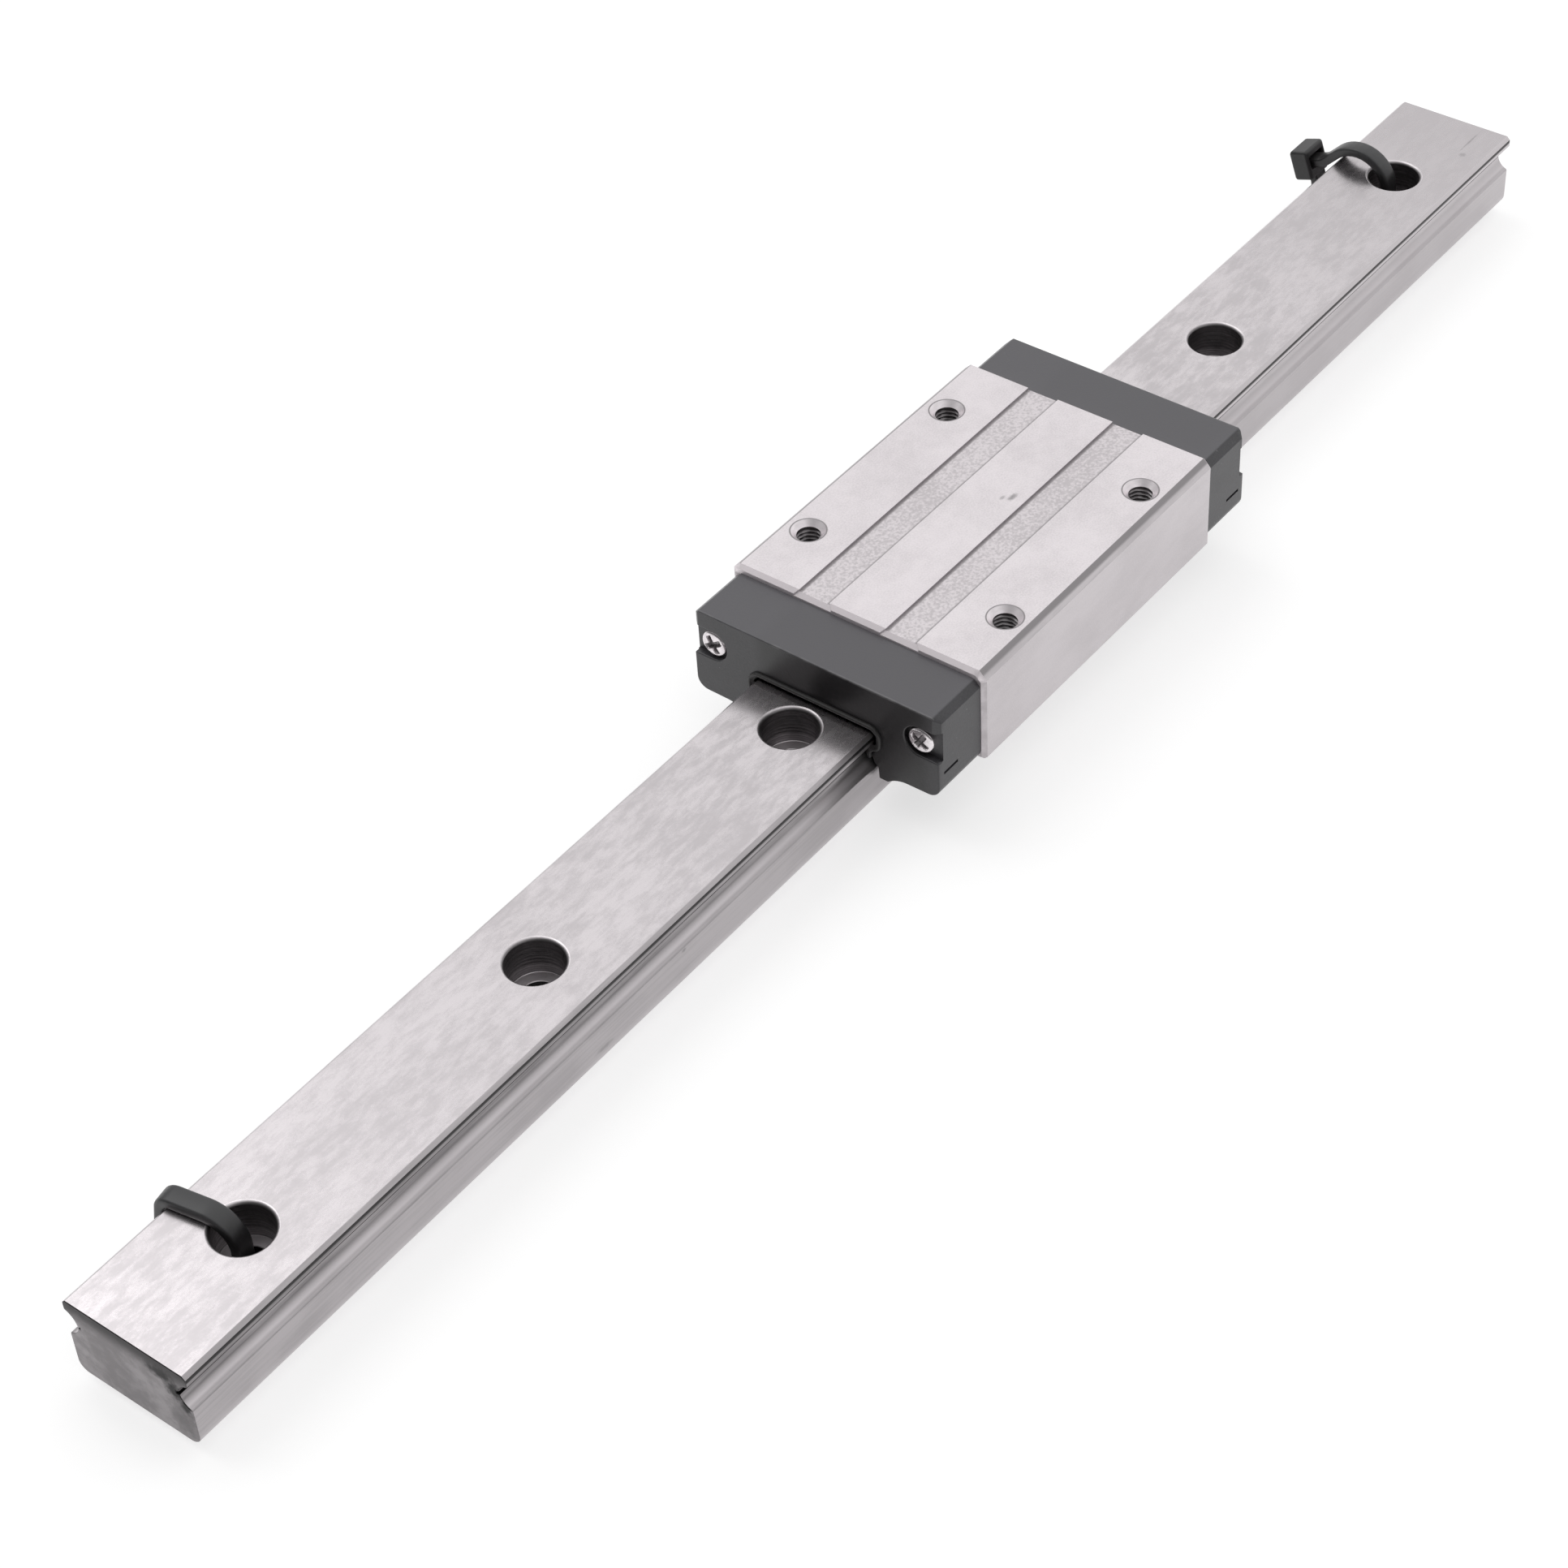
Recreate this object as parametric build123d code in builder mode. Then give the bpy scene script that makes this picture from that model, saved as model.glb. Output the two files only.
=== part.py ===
from build123d import *
import os
from math import cos, radians, sin, sqrt, tan

# Miniature linear guide, size 15: a ground steel rail, and a long steel carriage block that runs
# along it on two rows of balls. A moulded plate with a rubber seal closes each end of the block,
# and a cable tie through each end hole of the rail keeps the block from running off.
# Millimetres. X runs along the rail, Y across it, Z up. The origin is the centre of the rail's base.

os.makedirs("parts", exist_ok=True)

# Rail
rail_length = 230.0
rail_width = 15.0
rail_height = 9.5
rail_top_edge = 0.4
rail_foot_round = 0.7

# Bolt holes of the rail: M3 cap screws, heads sunk. The pitch works out at 40.
hole_count = 6
hole_end_distance = 15.0
bolt_hole_diameter = 3.5
bolt_head_diameter = 6.0
bolt_head_depth = 4.5
bolt_mouth_edge = 0.4

# Ball grooves: a pointed arch that touches each ball at two points, 45 degrees up and down
ball_diameter = 3.175
ball_drop = 2.95
ball_depth_in_rail = 1.24
groove_radius = 1.70
ball_running_gap = 0.05
relief_width = 0.5
relief_depth = 0.35
groove_lip_round = 0.25

# Carriage block
block_width = 32.0
block_height = 16.0
block_length = 42.4
block_foot_height = 4.4
block_top_edge = 0.9
block_foot_edge = 0.4
block_x = 12.6
channel_top_gap = 0.9
strip_spacing = 11.0
strip_width = 3.9
strip_depth = 0.25

# Return bores, through which the balls run back inside the block, measured outward from the rail's side
return_diameter = 3.6
return_out = 4.7
return_height = 7.2

# Tapped holes in the block's top: M3, drilled to the thread's inner diameter
tap_spacing_x = 25.0
tap_spacing_y = 25.0
tap_core_diameter = 2.5
tap_mouth_diameter = 3.7
tap_depth = 5.0

# End plates
plate_length = 7.3
plate_side_step = 0.5
plate_top_step = 0.9
plate_foot_rise = 0.15
plate_shoulder = 0.8
plate_foot_round = 1.4
plate_skirt_drop = 0.95
plate_skirt_width = 1.6
plate_skirt_sweep = 2.5
plate_rail_gap = 0.45
plate_front_round = 0.3
facet_width = 0.6
facet_foot_height = 9.4
slit_length = 2.4
slit_width = 0.35
slit_depth = 0.5
slit_height = 7.5
slit_inset = 0.9

# Plate screws, each in a pocket that is open to the side of the plate
screw_inset = 2.4
screw_height = 11.15
screw_head_diameter = 3.1
screw_head_height = 0.75
screw_head_edge = 0.25
screw_shank_diameter = 1.6
screw_bite = 3.5
screw_hole_gap = 0.1
screw_hole_spare = 1.0
pocket_diameter = 3.7
pocket_depth = 0.8
cross_length = 1.7
cross_width = 0.42
cross_depth = 0.45

# End seals
seal_rail_gap = 0.2
seal_lip_width = 0.75
seal_stand_out = 0.35
seal_seat_depth = 1.2
seal_tip_height = 5.9

# Ball rows
ball_row_end_gap = 1.2

# Stop ties
strap_width = 2.2
strap_thickness = 1.1
strap_rail_gap = 0.1
strap_hole_offset = 0.55
tie_head_length = 3.8
tie_head_thickness = 2.5
tie_head_width = 4.0
tie_head_edge = 0.35
tie_window_width = 2.8
tie_window_gap = 0.35
tie_tail = 0.15

# Near tie, measured outward from the rail's side
near_skew = 10.0
near_head_out = 2.3
near_edge_out = 0.75
near_stem = 0.6
near_bends = [3.0, 1.4, 3.3, 1.0]

# Far tie, measured the same way; its head leans outward and its strap falls to the head at an angle
far_head_out = 4.19
far_head_drop = 1.85
far_head_lean = 18.9
far_strap_fall = 46.0
far_stem = 1.4
far_knee_out = 2.4
far_elbow_drop = 1.2
far_bends = [2.5, 4.1, 1.0, 3.0, 3.0]

# Worked out from the sizes above
half_rail = rail_width / 2
end_hole_x = rail_length / 2 - hole_end_distance
hole_pitch = 2 * end_hole_x / (hole_count - 1)
ball_height = rail_height - ball_drop
ball_radius = ball_diameter / 2
ball_y = half_rail + ball_radius - ball_depth_in_rail
arch_offset = groove_radius - ball_radius - ball_running_gap
arch_shift = arch_offset * sin(radians(45))
channel_half = 2 * ball_y - half_rail
block_end = block_length / 2
return_spacing = rail_width + 2 * return_out
plate_width = block_width - 2 * plate_side_step
plate_top = block_height - plate_top_step
plate_foot = block_foot_height + plate_foot_rise
plate_skirt_round = (plate_skirt_sweep**2 + plate_skirt_drop**2) / (2 * plate_skirt_drop)
screw_spacing = plate_width - 2 * screw_inset
strap_under_z = -strap_rail_gap - strap_thickness / 2
strap_over_z = rail_height + strap_rail_gap + strap_thickness / 2
same_point = 0.01


def groove_lip(side_y):
    """Half the groove's mouth: how far above and below the ball's centre an arch meets a side wall."""
    reach = abs(ball_y - side_y) + arch_shift
    return sqrt(groove_radius**2 - reach**2) - arch_shift


def groove_root():
    """How far the arch's point lies from the ball's centre, across the rail."""
    return sqrt(groove_radius**2 - arch_shift**2) - arch_shift


def draw_rail_outline():
    """One half of the rail's section in the open line, from the middle of its base to that of its top."""
    lip = groove_lip(half_rail)
    root = (ball_y - groove_root(), ball_height)
    foot = Polyline((0, 0), (half_rail, 0), (half_rail, ball_height - lip))
    lower = RadiusArc(foot @ 1, root, groove_radius)
    upper = RadiusArc(lower @ 1, (half_rail, ball_height + lip), groove_radius)
    Polyline(upper @ 1, (half_rail, rail_height), (0, rail_height))
    mirror(about=Plane.YZ)


def end_face(side, outward=0.0):
    """The plane of one end of the block, or past it, with Z up in the sketch and its normal outward."""
    x = block_x + side * (block_end + outward)
    return Plane(origin=(x, 0, 0), x_dir=(0, side, 0), z_dir=(side, 0, 0))


# The rail's outline without its relief slots, which the end plates and the seals follow too
with BuildSketch() as rail_outline:
    with BuildLine():
        draw_rail_outline()
    make_face()
    chamfer(rail_outline.vertices().group_by(Axis.Y)[-1], rail_top_edge)
    fillet(rail_outline.vertices().group_by(Axis.Y)[0], rail_foot_round)
    lips = rail_outline.vertices().filter_by(
        lambda v: abs(abs(v.Y - ball_height) - groove_lip(half_rail)) < same_point
    )
    fillet(lips, groove_lip_round)

# The seal's lip: a band that follows the outline of the rail at a small gap, above its foot
with BuildSketch() as seal_outline:
    offset(rail_outline.sketch, amount=seal_rail_gap + seal_lip_width)
    offset(rail_outline.sketch, amount=seal_rail_gap, mode=Mode.SUBTRACT)
    with Locations((0, seal_tip_height + rail_height)):
        Rectangle(2 * rail_width, 2 * rail_height, mode=Mode.INTERSECT)

# The inner foot of an end plate: it sweeps down to the rail on both sides
with BuildSketch() as plate_skirt:
    with BuildLine():
        skirt_foot = plate_foot - plate_skirt_drop
        skirt_side = half_rail + plate_skirt_width
        sweep = RadiusArc((skirt_side, skirt_foot), (skirt_side + plate_skirt_sweep, plate_foot), plate_skirt_round)
        Line(sweep @ 1, (0, plate_foot))
        Line(sweep @ 0, (0, skirt_foot))
        mirror(about=Plane.YZ)
    make_face()

# Rail
with BuildPart() as rail:
    with BuildSketch(Plane.YZ):
        add(rail_outline.sketch)
        with Locations((ball_y - groove_root(), ball_height), (groove_root() - ball_y, ball_height)):
            Rectangle(2 * relief_depth, relief_width, mode=Mode.SUBTRACT)
    extrude(amount=rail_length / 2, both=True)
    with Locations((0, 0, rail_height)):
        with GridLocations(hole_pitch, 0, hole_count, 1):
            CounterBoreHole(bolt_hole_diameter / 2, bolt_head_diameter / 2, bolt_head_depth)
    chamfer(rail.edges().filter_by(GeomType.CIRCLE).group_by(Axis.Z)[-1], bolt_mouth_edge)

rail.part.label = "rail"
export_step(rail.part, "parts/rail.step")

# Carriage block
with BuildPart() as carriage_block:
    with BuildSketch(Plane.YZ.offset(block_x)) as block_section:
        with Locations((0, (block_height + block_foot_height) / 2)):
            Rectangle(block_width, block_height - block_foot_height)
        chamfer(block_section.vertices().group_by(Axis.Y)[-1], block_top_edge)
        chamfer(block_section.vertices().group_by(Axis.Y)[0], block_foot_edge)
        with BuildLine():
            lip = groove_lip(channel_half)
            roof = rail_height + channel_top_gap
            top = Polyline((0, roof), (channel_half, roof), (channel_half, ball_height + lip))
            root = (ball_y + groove_root(), ball_height)
            upper = RadiusArc(top @ 1, root, groove_radius)
            lower = RadiusArc(upper @ 1, (channel_half, ball_height - lip), groove_radius)
            Polyline(lower @ 1, (channel_half, 0), (0, 0))
            mirror(about=Plane.YZ)
        make_face(mode=Mode.SUBTRACT)
        for y in (-strip_spacing / 2, strip_spacing / 2):
            with Locations((y, block_height)):
                Rectangle(strip_width, 2 * strip_depth, mode=Mode.SUBTRACT)
    extrude(amount=block_end, both=True)
    with Locations((block_x, 0, block_height)):
        with GridLocations(tap_spacing_x, tap_spacing_y, 2, 2):
            CounterSinkHole(tap_core_diameter / 2, tap_mouth_diameter / 2, tap_depth, 90)
    for side in (-1, 1):
        with Locations(end_face(side)):
            with Locations((-screw_spacing / 2, screw_height), (screw_spacing / 2, screw_height)):
                Hole(screw_shank_diameter / 2 + screw_hole_gap / 2, screw_bite + screw_hole_spare)
    with Locations(end_face(-1)):
        with Locations((-return_spacing / 2, return_height), (return_spacing / 2, return_height)):
            Hole(return_diameter / 2)

carriage_block.part.label = "carriage_block"
export_step(carriage_block.part, "parts/carriage_block.step")

# End plates, end seals and plate screws, at the front and the rear of the block
for end, side in (("front", -1), ("rear", 1)):
    with BuildPart() as end_plate:
        with BuildSketch(end_face(side)) as plate_section:
            with Locations((0, (plate_top + plate_foot) / 2)):
                Rectangle(plate_width, plate_top - plate_foot)
            chamfer(plate_section.vertices().group_by(Axis.Y)[-1], plate_shoulder)
            fillet(plate_section.vertices().group_by(Axis.Y)[0], plate_foot_round)
            add(plate_skirt.sketch)
            offset(rail_outline.sketch, amount=plate_rail_gap, mode=Mode.SUBTRACT)
        extrude(amount=plate_length)
        front_edges = end_plate.edges().filter_by(Axis.Y).group_by(Axis.X)[0 if side < 0 else -1]
        fillet(front_edges.group_by(Axis.Z)[-1], plate_front_round)
        with BuildSketch(Plane.XY.offset(facet_foot_height)):
            front_x = block_x + side * (block_end + plate_length)
            with Locations((front_x, -plate_width / 2), (front_x, plate_width / 2)):
                Rectangle(facet_width * sqrt(2), facet_width * sqrt(2), rotation=45)
        extrude(amount=block_height, mode=Mode.SUBTRACT)
        with BuildSketch(end_face(side, plate_length - pocket_depth)):
            for y in (-screw_spacing / 2, screw_spacing / 2):
                with Locations((y, screw_height)):
                    Circle(pocket_diameter / 2)
                with Locations((y * 1.5, screw_height)):
                    Rectangle(abs(y), pocket_diameter)
        extrude(amount=2 * pocket_depth, mode=Mode.SUBTRACT)
        with Locations(end_face(side, plate_length)):
            with Locations((-screw_spacing / 2, screw_height), (screw_spacing / 2, screw_height)):
                Hole(screw_shank_diameter / 2 + screw_hole_gap)
        for y in (-plate_width / 2, plate_width / 2):
            slit_x = front_x - side * (slit_inset + slit_length / 2)
            with Locations((slit_x, y, slit_height)):
                Box(slit_length, 2 * slit_depth, slit_width, mode=Mode.SUBTRACT)
        with BuildSketch(end_face(side, plate_length - seal_seat_depth)):
            add(seal_outline.sketch)
        extrude(amount=2 * seal_seat_depth, mode=Mode.SUBTRACT)

    end_plate.part.label = f"end_plate_{end}"
    export_step(end_plate.part, f"parts/end_plate_{end}.step")

    with BuildPart() as end_seal:
        with BuildSketch(end_face(side, plate_length - seal_seat_depth)):
            add(seal_outline.sketch)
        extrude(amount=seal_seat_depth + seal_stand_out)

    end_seal.part.label = f"end_seal_{end}"
    export_step(end_seal.part, f"parts/end_seal_{end}.step")

    for hand, y in (("left", screw_spacing / 2), ("right", -screw_spacing / 2)):
        seat = end_face(side, plate_length - pocket_depth)
        with BuildPart() as plate_screw:
            with BuildSketch(seat):
                with Locations((side * y, screw_height)):
                    Circle(screw_head_diameter / 2)
            extrude(amount=screw_head_height)
            crown = plate_screw.edges().filter_by(GeomType.CIRCLE).group_by(Axis.X)
            chamfer(crown[0 if side < 0 else -1], screw_head_edge)
            with BuildSketch(seat.offset(screw_head_height - cross_depth)):
                with Locations((side * y, screw_height)):
                    Rectangle(cross_length, cross_width, rotation=45)
                    Rectangle(cross_length, cross_width, rotation=-45)
            extrude(amount=2 * cross_depth, mode=Mode.SUBTRACT)
            with BuildSketch(seat):
                with Locations((side * y, screw_height)):
                    Circle(screw_shank_diameter / 2)
            extrude(amount=-(plate_length - pocket_depth + screw_bite))

        plate_screw.part.label = f"plate_screw_{end}_{hand}"
        export_step(plate_screw.part, f"parts/plate_screw_{end}_{hand}.step")

# Loaded ball rows, one plain core for the balls of each side
for hand, y in (("left", ball_y), ("right", -ball_y)):
    with BuildPart() as ball_row:
        with BuildSketch(Plane.YZ.offset(block_x)):
            with Locations((y, ball_height)):
                Circle(ball_radius)
        extrude(amount=block_end - ball_row_end_gap, both=True)

    ball_row.part.label = f"ball_row_{hand}"
    export_step(ball_row.part, f"parts/ball_row_{hand}.step")


def tie_plane(hole_x, skew):
    """The upright plane of a tie's loop through a bolt hole; its X runs outward to the rail's left side."""
    across = (-sin(radians(skew)), cos(radians(skew)), 0)
    return Plane(origin=(hole_x, 0, 0), x_dir=across, z_dir=(cos(radians(skew)), sin(radians(skew)), 0))


# Stop tie at the near end. It lies close over the rail's left edge, and its head lies beside the foot.
with BuildPart() as stop_tie_near:
    near_plane = tie_plane(-end_hole_x, near_skew)
    head_across = half_rail + near_head_out
    head_foot = strap_under_z - strap_thickness / 2
    head_middle = head_foot + tie_head_thickness / 2
    with BuildSketch(near_plane):
        with Locations((head_across, head_middle)):
            Rectangle(tie_head_length, tie_head_thickness)
    extrude(amount=tie_head_width / 2, both=True)
    chamfer(stop_tie_near.edges(), tie_head_edge)
    with BuildSketch(near_plane):
        with Locations((head_across + tie_window_gap / 2, head_middle)):
            Rectangle(strap_thickness + tie_window_gap, 2 * tie_head_thickness)
    extrude(amount=tie_window_width / 2, both=True, mode=Mode.SUBTRACT)
    with BuildSketch(near_plane):
        with BuildLine():
            FilletPolyline(
                (head_across, head_foot),
                (head_across, head_foot + tie_head_thickness + near_stem),
                (half_rail + near_edge_out, strap_over_z),
                (strap_hole_offset, strap_over_z),
                (strap_hole_offset, strap_under_z),
                (head_across - tie_head_length / 2 + tie_head_edge, strap_under_z),
                radius=near_bends,
            )
        trace(line_width=strap_thickness)
    extrude(amount=strap_width / 2, both=True)

stop_tie_near.part.label = "stop_tie_near"
export_step(stop_tie_near.part, "parts/stop_tie_near.step")

# Stop tie at the far end. It stands up in an open loop, and its head hangs clear of the rail's side.
with BuildPart() as stop_tie_far:
    far_plane = tie_plane(end_hole_x, 0)
    head = Vector(half_rail + far_head_out, rail_height - far_head_drop)
    head_out = Vector(cos(radians(far_head_lean)), -sin(radians(far_head_lean)))
    head_up = Vector(sin(radians(far_head_lean)), cos(radians(far_head_lean)))
    with BuildSketch(far_plane):
        with Locations((head.X, head.Y)):
            Rectangle(tie_head_thickness, tie_head_length, rotation=-far_head_lean)
    extrude(amount=tie_head_width / 2, both=True)
    chamfer(stop_tie_far.edges(), tie_head_edge)
    with BuildSketch(far_plane):
        window = head + head_up * (tie_window_gap / 2)
        with Locations((window.X, window.Y)):
            Rectangle(2 * tie_head_thickness, strap_thickness + tie_window_gap, rotation=-far_head_lean)
    extrude(amount=tie_window_width / 2, both=True, mode=Mode.SUBTRACT)
    tail = head + head_out * (tie_head_thickness / 2 + tie_tail)
    bend = head - head_out * (tie_head_thickness / 2 + far_stem)
    peak_z = bend.Y + (bend.X - strap_hole_offset) * tan(radians(far_strap_fall))
    inner = head - head_out * (tie_head_thickness / 2 - strap_thickness / 2)
    root = inner - head_up * (tie_head_length / 2 - tie_head_edge)
    elbow = root - head_up * far_elbow_drop
    with BuildSketch(far_plane):
        with BuildLine():
            FilletPolyline(
                (tail.X, tail.Y),
                (bend.X, bend.Y),
                (strap_hole_offset, peak_z),
                (strap_hole_offset, strap_under_z),
                (half_rail + far_knee_out, strap_under_z),
                (elbow.X, elbow.Y),
                (root.X, root.Y),
                radius=far_bends,
            )
        trace(line_width=strap_thickness)
    extrude(amount=strap_width / 2, both=True)

stop_tie_far.part.label = "stop_tie_far"
export_step(stop_tie_far.part, "parts/stop_tie_far.step")
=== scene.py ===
# %% [markdown]
# # A miniature linear guide
# The object is a ground steel rail with six sunk bolt holes, and a steel carriage block that slides
# along it on two rows of balls. A moulded plate with a rubber seal closes each end of the block, and
# a cable tie through each end hole of the rail keeps the block from running off.
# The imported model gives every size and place. Blender works in metres in the same frame.

import bmesh
import bpy
import numpy as np
from mathutils import Matrix, Vector


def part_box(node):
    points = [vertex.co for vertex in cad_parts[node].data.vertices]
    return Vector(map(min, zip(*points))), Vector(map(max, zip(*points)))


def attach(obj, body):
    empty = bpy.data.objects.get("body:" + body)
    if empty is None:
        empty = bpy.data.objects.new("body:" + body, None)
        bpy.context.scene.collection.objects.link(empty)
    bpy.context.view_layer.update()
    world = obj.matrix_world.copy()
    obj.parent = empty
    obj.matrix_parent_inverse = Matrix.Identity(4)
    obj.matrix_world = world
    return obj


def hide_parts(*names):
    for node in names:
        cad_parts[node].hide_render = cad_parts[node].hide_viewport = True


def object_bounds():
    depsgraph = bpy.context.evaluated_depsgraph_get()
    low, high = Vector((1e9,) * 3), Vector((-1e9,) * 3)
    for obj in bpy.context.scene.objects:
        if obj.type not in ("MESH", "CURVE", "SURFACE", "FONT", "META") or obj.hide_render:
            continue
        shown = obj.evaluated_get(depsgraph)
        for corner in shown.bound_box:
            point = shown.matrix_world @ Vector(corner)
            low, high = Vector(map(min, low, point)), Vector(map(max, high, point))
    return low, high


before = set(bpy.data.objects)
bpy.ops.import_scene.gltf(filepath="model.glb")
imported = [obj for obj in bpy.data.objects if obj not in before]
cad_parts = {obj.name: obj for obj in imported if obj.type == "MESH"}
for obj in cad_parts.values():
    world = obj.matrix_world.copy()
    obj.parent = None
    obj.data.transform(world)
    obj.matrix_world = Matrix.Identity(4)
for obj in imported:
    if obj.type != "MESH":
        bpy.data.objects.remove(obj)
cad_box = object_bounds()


def box_in_mm(box):
    """The two corners of a box in millimetres, rounded for printing."""
    return [[round(value * 1000, 2) for value in box_corner] for box_corner in box]


print("CAD box in mm", box_in_mm(cad_box))

# %% [markdown]
# ## Sizes
# All shapes below are worked out in millimetres, as a machinist would, and turned into metres when
# a mesh is made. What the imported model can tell, such as the block's place, is read from it, and the
# rest repeats the drawing: the holes, the ball grooves, the threads and the plates.

# %% Sizes read from the model, and the drawing's own
MM = 0.001


def node_box(name):
    """The lowest and the highest corner of a CAD node, in millimetres."""
    low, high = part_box(name)
    return np.array(low) / MM, np.array(high) / MM


rail_high = node_box("rail")[1]
block_low, block_high = node_box("carriage_block")
plate_low, plate_high = node_box("end_plate_front")
rail_end, rail_side, rail_top = rail_high
block_x = (block_low[0] + block_high[0]) / 2
block_end = (block_high[0] - block_low[0]) / 2
block_side, block_foot, block_top = block_high[1], block_low[2], block_high[2]
plate_length = plate_high[0] - plate_low[0]
plate_face = block_end + plate_length  # from the block's middle
plate_side, skirt_foot, plate_top = plate_high[1], plate_low[2], plate_high[2]
end_distance, hole_count = 15, 6
hole_places = np.linspace(end_distance - rail_end, rail_end - end_distance, hole_count)
ENDS, HANDS = ((-1, "front"), (1, "rear")), ((1, "left"), (-1, "right"))
ball_radius, ball_z, ball_y = 1.5875, 6.55, 7.8475
groove_radius, arch_shift = 1.70, 0.0442
mouth_radius, mouth_depth, bore_radius, bore_floor, bolt_radius = 3.4, 0.4, 3.0, rail_top - 4.5, 1.75
strip_in, strip_out, strip_z = 3.55, 7.45, block_top - 0.25
tap_x, tap_y, tap_mouth = 12.5, 12.5, 1.88
print("rail", np.round([rail_end * 2, rail_side * 2, rail_top], 2), "mm; block at x", round(block_x, 2), "mm")

# %% [markdown]
# ## From points to a mesh
# Each piece is a set of patches. A patch is a grid of points, worked out as one numpy array from a
# function of two parameters, and its quads join neighbouring rows and columns. The patches of one
# piece share their border points, so they weld into one closed skin. This keeps the whole shape in
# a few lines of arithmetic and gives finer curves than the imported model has. Edges sharper than
# the given angle stay crisp, and weighted normals keep the large flat faces flat.

# %% Patches and caps
def patch(points, finish=0, round_columns=False):
    """A grid of points: quad (i, j) joins the points (i, j), (i, j+1), (i+1, j+1) and (i+1, j), and
    round_columns joins the last column to the first."""
    rows, columns = points.shape[:2]
    number = np.arange(rows * columns).reshape(rows, columns)
    if round_columns:
        number = np.column_stack([number, number[:, 0]])
    quads = np.stack([number[:-1, :-1], number[:-1, 1:], number[1:, 1:], number[1:, :-1]], -1)
    return points.reshape(-1, 3), quads.reshape(-1, 4), finish


def cap(outline, finish=0):
    """One flat face with the given outline."""
    return outline, np.arange(len(outline))[None, :], finish


grid = np.zeros((3, 4, 3))
print("a 3 by 4 grid has", len(patch(grid)[1]), "quads, or", len(patch(grid, 0, True)[1]), "when closed")

# %% From patches to a piece
WELD = 1e-4  # points that agree to this part of a millimetre become one


def make_piece(name, patches, materials, body, nodes=(), sharp=28):
    """Welds patches into one closed mesh, rides it on a body and lets it stand for CAD nodes."""
    points = np.concatenate([p for p, faces, finish in patches])
    keys = np.round(points / WELD).astype(np.int64)
    first, number = np.unique(keys, axis=0, return_index=True, return_inverse=True)[1:]
    number = number.ravel()
    faces, finishes, start = [], [], 0
    for p, quads, finish in patches:
        corners = number[quads + start]
        start += len(p)
        repeated = corners == np.roll(corners, -1, axis=1)
        for lost in range(corners.shape[1] - 2):
            rows = repeated.sum(1) == lost
            kept = corners[rows][~repeated[rows]].reshape(rows.sum(), corners.shape[1] - lost)
            faces += kept.tolist()
            finishes += np.broadcast_to(finish, len(quads))[rows].tolist()
    mesh = bpy.data.meshes.new(name)
    mesh.from_pydata((points[first] * MM).tolist(), [], faces)
    for material in materials:
        mesh.materials.append(material)
    mesh.polygons.foreach_set("material_index", np.array(finishes, np.int32))
    mesh.polygons.foreach_set("use_smooth", np.ones(len(faces), bool))
    edit = bmesh.new()
    edit.from_mesh(mesh)
    bmesh.ops.recalc_face_normals(edit, faces=edit.faces)
    edit.to_mesh(mesh)
    edit.free()
    mesh.set_sharp_from_angle(angle=np.radians(sharp))
    sides = np.zeros(len(mesh.loops), np.int32)
    mesh.loops.foreach_get("edge_index", sides)
    open_edges = int((np.bincount(sides, minlength=len(mesh.edges)) != 2).sum())
    piece = bpy.data.objects.new(name, mesh)
    bpy.context.scene.collection.objects.link(piece)
    flat = piece.modifiers.new("Flat faces stay flat", "WEIGHTED_NORMAL")
    flat.keep_sharp = True
    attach(piece, body)
    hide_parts(*nodes)
    print(name, len(faces), "faces,", open_edges, "edges without two faces")


print("points weld where they agree to", WELD, "mm")

# %% [markdown]
# ## Outlines
# A machined or moulded section is a chain of arcs joined by straight lines. Each arc is kept as its
# centre, its signed radius and the turn of its outward normal. Then a point of the outline is the
# centre plus the radius times the normal, and the whole outline moves outward by a gap when the gap
# is added to every radius. The rail, the seals and the opening in the end plates all follow the same
# arcs at different gaps, so they fit each other as the real ones do.

# %% Arcs and outlines
def corner(y, z, start, end, radius=0.0, steps=4):
    """A rounded corner at (y, z) whose outward normal turns from start to end degrees."""
    middle, half = np.radians((start + end) / 2), np.radians((end - start) / 2)
    reach = radius / np.cos(half)
    return y - reach * np.cos(middle), z - reach * np.sin(middle), radius, start, end, steps


def point(y, z, normal):
    """A sharp corner, moved along one normal when the outline grows or shrinks."""
    return y, z, 0.0, normal, normal, 0


def follow(arcs, gap=0.0):
    """Outline points: centre + (radius + gap) * (cos normal, sin normal), arc after arc. Where an inset is
    larger than a corner's radius, the corner's points all move to where its two sides meet."""
    runs = []
    for y, z, radius, start, end, steps in arcs:
        normal = np.radians(np.linspace(start, end, steps + 1))
        reach = radius + gap
        if radius >= 0 > reach:
            normal = np.full(steps + 1, np.radians((start + end) / 2))
            reach /= np.cos(np.radians((end - start) / 2))
        runs.append(np.stack([y + reach * np.cos(normal), z + reach * np.sin(normal)], -1))
    return np.concatenate(runs)


quarter = follow([corner(1, 1, 0, 90, 1, 8)])
print("a quarter round of radius 1 runs from", quarter[0].round(2), "to", quarter[-1].round(2))


# %% Outlines in space
def mirrored(outline):
    """The same outline on the other side of the middle, walked backwards."""
    return (outline * [-1, 1])[::-1]


def between(first, last, steps):
    """The points that divide a straight line into steps, without its ends."""
    share = np.arange(1, steps)[:, None] / steps
    return first + (last - first) * share


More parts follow.
